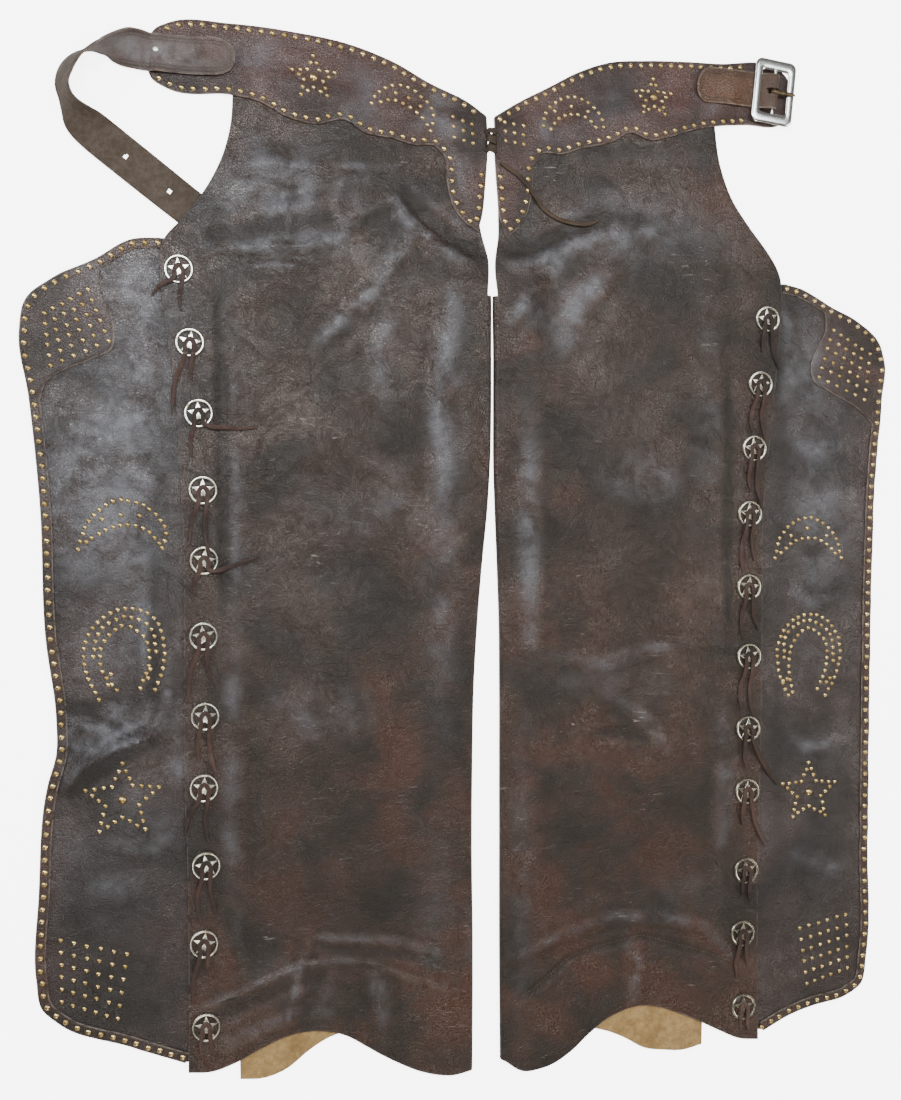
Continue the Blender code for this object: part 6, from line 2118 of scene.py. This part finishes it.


# Painted sheen: soft ovals where the colour is drawn toward the finish's pale blue-grey sheen, a painted reflection of
# the light on the legs and wings
SHINE = (
    Patch(-212, 350, 62, 44, -8, 0.85), Patch(-200, 300, 56, 9, 6, 0.6), Patch(-120, 300, 30, 60, 45, 0.35),
    Patch(-40, 120, 12, 160, -3, 0.55), Patch(-52, -60, 14, 90, 2, 0.4), Patch(-248, 40, 10, 160, 0, 0.35),
    Patch(-110, 190, 40, 50, 0, 0.22), Patch(-180, -30, 60, 60, 0, 0.18), Patch(-60, -330, 20, 60, 0, 0.3),
    Patch(130, 330, 95, 34, 6, 0.5), Patch(60, 250, 34, 44, 30, 0.45), Patch(40, 60, 12, 120, 2, 0.4),
    Patch(150, 120, 60, 80, 0, 0.16), Patch(120, -120, 60, 16, -6, 0.3), Patch(225, 150, 12, 150, 0, 0.25),
    Patch(30, -300, 12, 120, 0, 0.35), Patch(200, -330, 40, 26, 10, 0.25), Patch(170, 404, 60, 12, 0, 0.3),
    Patch(-352, 100, 46, 60, -12, 0.8), Patch(-388, 60, 24, 60, 0, 0.6), Patch(-345, 258, 50, 22, -18, 0.75),
    Patch(-330, 170, 20, 60, 0, 0.5), Patch(-330, -20, 14, 60, 0, 0.5), Patch(-356, -84, 18, 24, 0, 0.6),
    Patch(-330, -146, 26, 12, 12, 0.8), Patch(-372, -160, 30, 9, 24, 0.6), Patch(-372, -300, 34, 60, 0, 0.35),
    Patch(-340, -250, 16, 50, 0, 0.3), Patch(342, 200, 18, 60, -8, 0.35), Patch(360, 80, 34, 50, 0, 0.32),
    Patch(345, -100, 18, 22, 0, 0.3), Patch(350, -200, 30, 20, 0, 0.25), Patch(360, -320, 30, 50, 0, 0.22),
    Patch(-384, -166, 12, 9, 0, 0.7), Patch(-300, -192, 12, 10, 0, 0.7), Patch(-310, -246, 10, 14, 0, 0.5),
    Patch(-345, -262, 34, 10, 0, 0.55), Patch(-360, 20, 30, 30, 0, 0.4), Patch(350, 20, 34, 60, 0, 0.3),
    Patch(-190, -395, 30, 26, 0, 0.3), Patch(-20, -360, 8, 30, 0, 0.3), Patch(-356, 40, 44, 80, 0, 0.35),
    Patch(-340, 190, 30, 60, 0, 0.4), Patch(350, 170, 26, 70, 0, 0.35), Patch(356, 20, 40, 70, 0, 0.25),
    Patch(210, 456, 30, 20, 0, 0.35), Patch(40, 440, 20, 16, 0, 0.35), Patch(140, 330, 50, 26, 20, 0.3),
)
# Painted sheen on the yokes
YOKE_SHINE = (
    Patch(-262, 468, 40, 14, 0, 0.5), Patch(-130, 440, 26, 30, 0, 0.5), Patch(-48, 428, 12, 24, 10, 0.75),
    Patch(-215, 470, 26, 30, 0, 0.3), Patch(-26, 370, 8, 34, 8, 0.3), Patch(60, 425, 22, 20, 0, 0.3),
    Patch(130, 450, 30, 26, 0, 0.35), Patch(230, 480, 40, 20, 0, 0.3),
)
REDNESS = (
    Patch(-150, -300, 120, 140, 0, 0.45), Patch(130, -300, 120, 130, 0, 0.4), Patch(-375, -340, 60, 90, 0, 0.5),
    Patch(-80, -180, 60, 150, 0, 0.55), Patch(-40, 20, 30, 120, 0, 0.25), Patch(60, -10, 44, 190, 0, 0.5),
    Patch(120, -250, 100, 90, 0, 0.45), Patch(-200, -330, 70, 60, 0, 0.3), Patch(40, 220, 30, 60, 0, 0.25),
    Patch(240, 380, 30, 40, 0, 0.4), Patch(-420, 0, 10, 240, 0, 0.3), Patch(415, 0, 10, 260, 0, 0.5),
    Patch(-210, 455, 30, 40, 0, 0.4), Patch(210, 480, 60, 30, 0, 0.5), Patch(-140, -380, 140, 110, 0, 0.5),
    Patch(150, -380, 130, 110, 0, 0.5), Patch(-350, -400, 60, 60, 0, 0.4), Patch(-30, -400, 40, 60, 0, 0.4),
)
# Painted shade: soft ovals where the colour is darkened toward near black; painted shadow strips along the legs' side
# edges on the wings, just inside the concho rows, at the crotch, under the yokes' lower edges and in the left wing
# fold's trough; broad ovals also make the lower legs, the lower wings and passages of the legs darker
SHADE = (
    Patch(-150, -290, 140, 160, 0, 0.6), Patch(130, -300, 130, 150, 0, 0.5), Patch(-372, -340, 60, 100, 0, 0.7),
    Patch(360, -330, 60, 110, 0, 0.5), Patch(-150, 40, 90, 130, 0, 0.25), Patch(90, 40, 80, 120, 0, 0.25),
    Patch(-262, 200, 4, 60, 0, 0.8), Patch(-259, 60, 5, 110, 0, 0.7), Patch(-150, 60, 50, 60, 10, 0.35),
    Patch(-130, -330, 80, 30, 0, 0.35), Patch(-20, 296, 30, 8, -20, 0.9), Patch(24, 300, 34, 8, 10, 0.8),
    Patch(160, 230, 60, 40, 0, 0.3), Patch(110, 20, 50, 50, 0, 0.35), Patch(200, -260, 40, 60, 0, 0.35),
    Patch(250, 60, 5, 140, 0, 0.6), Patch(250, -250, 6, 120, 0, 0.5), Patch(-230, -200, 30, 90, 0, 0.35),
    Patch(-100, 396, 90, 8, 4, 0.8), Patch(120, 408, 80, 7, 4, 0.7), Patch(-365, -188, 34, 7, 22, 0.9),
    Patch(-322, -60, 6, 60, 0, 0.6), Patch(-375, -250, 20, 40, 0, 0.3), Patch(-318, 20, 8, 120, 0, 0.5),
    Patch(312, 60, 10, 130, 0, 0.7), Patch(306, -200, 10, 120, 0, 0.6),
)


def paint_marks(item: bpy.types.Object, shine: Sequence[Patch] = SHINE, creases: Sequence[Crease] = ()) -> None:
    """Keep the painted sheen, redness and painted shade at each point of a leather piece: from the listed patches, and
    along its creases.
    """
    mesh = item.data
    places = np.empty(len(mesh.vertices) * 3, dtype=np.float32)
    mesh.vertices.foreach_get("co", places)
    places = places.reshape(-1, 3) / MM - PLACE
    # Painted highlight along each crease's ridge and painted shade in its trough, in step with the creases' height
    folds = relief(creases, np.abs(places[:, 0]), places[:, 1])
    along = {"shine": RIDGE_SHINE * np.maximum(folds, 0.0), "red": 0.0,
             "shade": TROUGH_SHADE * np.maximum(-folds, 0.0)}
    for name, patches in (("shine", shine), ("red", REDNESS), ("shade", SHADE)):
        total = sum(patch.at(places[:, 0], places[:, 1]) for patch in patches) + along[name]
        layer = mesh.attributes.new(name, "FLOAT", "POINT")
        layer.data.foreach_set("value", np.clip(total, 0.0, 1.0).astype(np.float32))


# ---- the whole ----


@dataclass
class Chaps:
    """All pieces of the dressed chaps."""

    groups: Groups

    def dress(self, piece: bpy.types.Object, finish: bpy.types.Material, replaced: Sequence[str] = (),
              body: str = "chaps") -> bpy.types.Object:
        """Give a piece its finish and its body, and hide the solids that it stands for.

        Args:
            piece: The new piece.
            finish: Its material.
            replaced: Names of the solids.
            body: The body that it rides on.

        Returns:
            The piece.
        """
        piece.data.materials.clear()
        piece.data.materials.append(finish)
        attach(piece, body)
        if replaced:
            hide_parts(*replaced)
        LOG.info("%s: %d faces", piece.name, len(piece.data.polygons))
        return piece

    def build_thongs(self) -> None:
        """Lay the conchos' thongs and the centre lace."""
        leather = THONG_LEATHER.build(self.groups)
        for side in Side:
            for number in range(len(CONCHO_AT[side])):
                name = f"tie_{side.word}_{number + 1:02d}"
                piece, line = Thong().build("thong_" + name[4:], thong_route(side, number), number * 3 + 1)
                self.dress(piece, leather, [name])
        lace = LACE_LEATHER.build(self.groups)
        knot = self.dress(CentreLace().build_knot(), lace, ["lace_knot"])
        route = smooth_line(LACE_ROUTE, count=20)
        piece, line = Thong().build("lace_free_end", route, 5)
        self.dress(piece, lace, ["centre_lace"])

    def declare_sheet(self, piece: bpy.types.Object, width: float, length: float) -> None:
        """Work out a leather piece's own area as half of its wall's surface, held between 0.31 of its cut size and all
        of it; the result is not used.
        """
        area = sum(face.area for face in piece.data.polygons) / 2.0
        area = min(max(area, 0.31 * width * length * MM * MM), width * length * MM * MM)

    def build_leather(self) -> None:
        """Lay the legs, wings, borders and yokes, with their studs and stitches."""
        hides = {name: finish.build(self.groups) for name, finish in
                 (("leg", LEG_LEATHER), ("wing", WING_LEATHER), ("trim", TRIM_LEATHER), ("yoke", YOKE_LEATHER))}
        brass = BRASS.build(self.groups)
        dark, pale = DARK_THREAD.build(), PALE_THREAD.build()
        stitching = Stitching()
        for side in Side:
            word, sign = side.word, (side.value, 1.0)
            leg_cut, wing_cut, yoke_cut = Leg(side), Wing(side), Yoke(side)
            leg = self.dress(leg_cut.build(), hides["leg"], ["leg_" + word])
            wing = self.dress(wing_cut.build(), hides["wing"], ["wing_" + word])
            trim = self.dress(wing_cut.build_trim(), hides["trim"], ["wing_trim_" + word])
            yoke = self.dress(yoke_cut.build(), hides["yoke"], ["yoke_" + word])
            paint_marks(leg, SHINE, LEG_CREASES[side])
            paint_marks(wing, SHINE, WING_CREASES[side])
            paint_marks(trim, SHINE, WING_CREASES[side])
            paint_marks(yoke, YOKE_SHINE, YOKE_CREASES[side])
            studwork = Studwork(side)
            wing_studs = self.dress(studwork.build_wing(wing_cut), brass)
            yoke_studs = self.dress(studwork.build_yoke(yoke_cut), brass)
            seam_line = wing_cut.border(BORDER - 1.5) * sign
            seam = stitching.sew("border_seam_" + word, seam_line, None,
                                 lambda out, y, cut=wing_cut: cut.top(out, y) + SEAT + TRIM - 0.1)
            self.dress(seam, dark)
            hem = stitching.sew("hem_seam_" + word, np.array(HEM_STITCHES[side][0], dtype=float), None,
                                lambda out, y, cut=leg_cut: cut.front_top(out, y) - 0.05)
            self.dress(hem, pale)
            self.declare_sheet(leg, 545.0, 965.0)
            self.declare_sheet(wing, 180.0, 745.0)
            self.declare_sheet(yoke, 325.0, 185.0)

    def build_hardware(self) -> None:
        """Make the strap, buckle, prong, chape, rivets and conchos."""
        silver, bronze = SILVER.build(self.groups), BRONZE.build(self.groups)
        dull = RIVET_METAL.build(self.groups)
        buckle = Buckle()
        strap = self.dress(BilletStrap().build(), STRAP_LEATHER.build(self.groups), ["strap"])
        # Painted sheen on the strap's run over the yoke and into its bend
        paint_marks(strap, (Patch(-300, 467, 50, 14, 0, 0.7), Patch(-345, 466, 20, 12, 0, 0.5)))
        rivet = self.dress(build_rivet("strap_rivet_head", *RIVET_AT, LAY + STRAP + SEAT, 4.0), dull,
                           ["strap_rivet"])
        self.declare_sheet(strap, STRAP_WIDTH, 338.0)
        out, y = SIDE_RIVET_AT
        low = float(Wing(Side.RIGHT).top(np.array(out), np.array(y))) - 0.1
        self.dress(build_rivet("wing_corner_rivet", out, y, low, 2.6), dull)
        self.dress(buckle.build_frame(), BUCKLE_METAL.build(self.groups), ["buckle_frame"])
        chape = self.dress(buckle.build_chape(), CHAPE_LEATHER.build(self.groups), ["chape"])
        # A faint painted sheen on the chape
        paint_marks(chape, (Patch(250, 485, 24, 7, 0, 0.15),))
        self.dress(buckle.build_prong(), bronze, ["prong"], "prong")
        for side in Side:
            for number, (out, y) in enumerate(CONCHO_AT[side], start=1):
                low = float(front_under(side, np.array(out), np.array(y))) + LEATHER + SEAT
                name = f"concho_{side.word}_{number:02d}"
                piece = Concho().build(f"star_{name}", side.value * out, y, low, 0.16 * math.sin(number * 2.3))
                self.dress(piece, silver, [name])

    def build(self) -> None:
        """Make everything, the cords first."""
        self.build_thongs()
        self.build_leather()
        self.build_hardware()


def main() -> None:
    """Load the frame, build the studio and the chaps."""
    logging.basicConfig(level=logging.INFO, format="%(name)s: %(message)s")
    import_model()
    Studio().build()
    Chaps(Groups.build()).build()


if __name__ == "__main__":
    main()
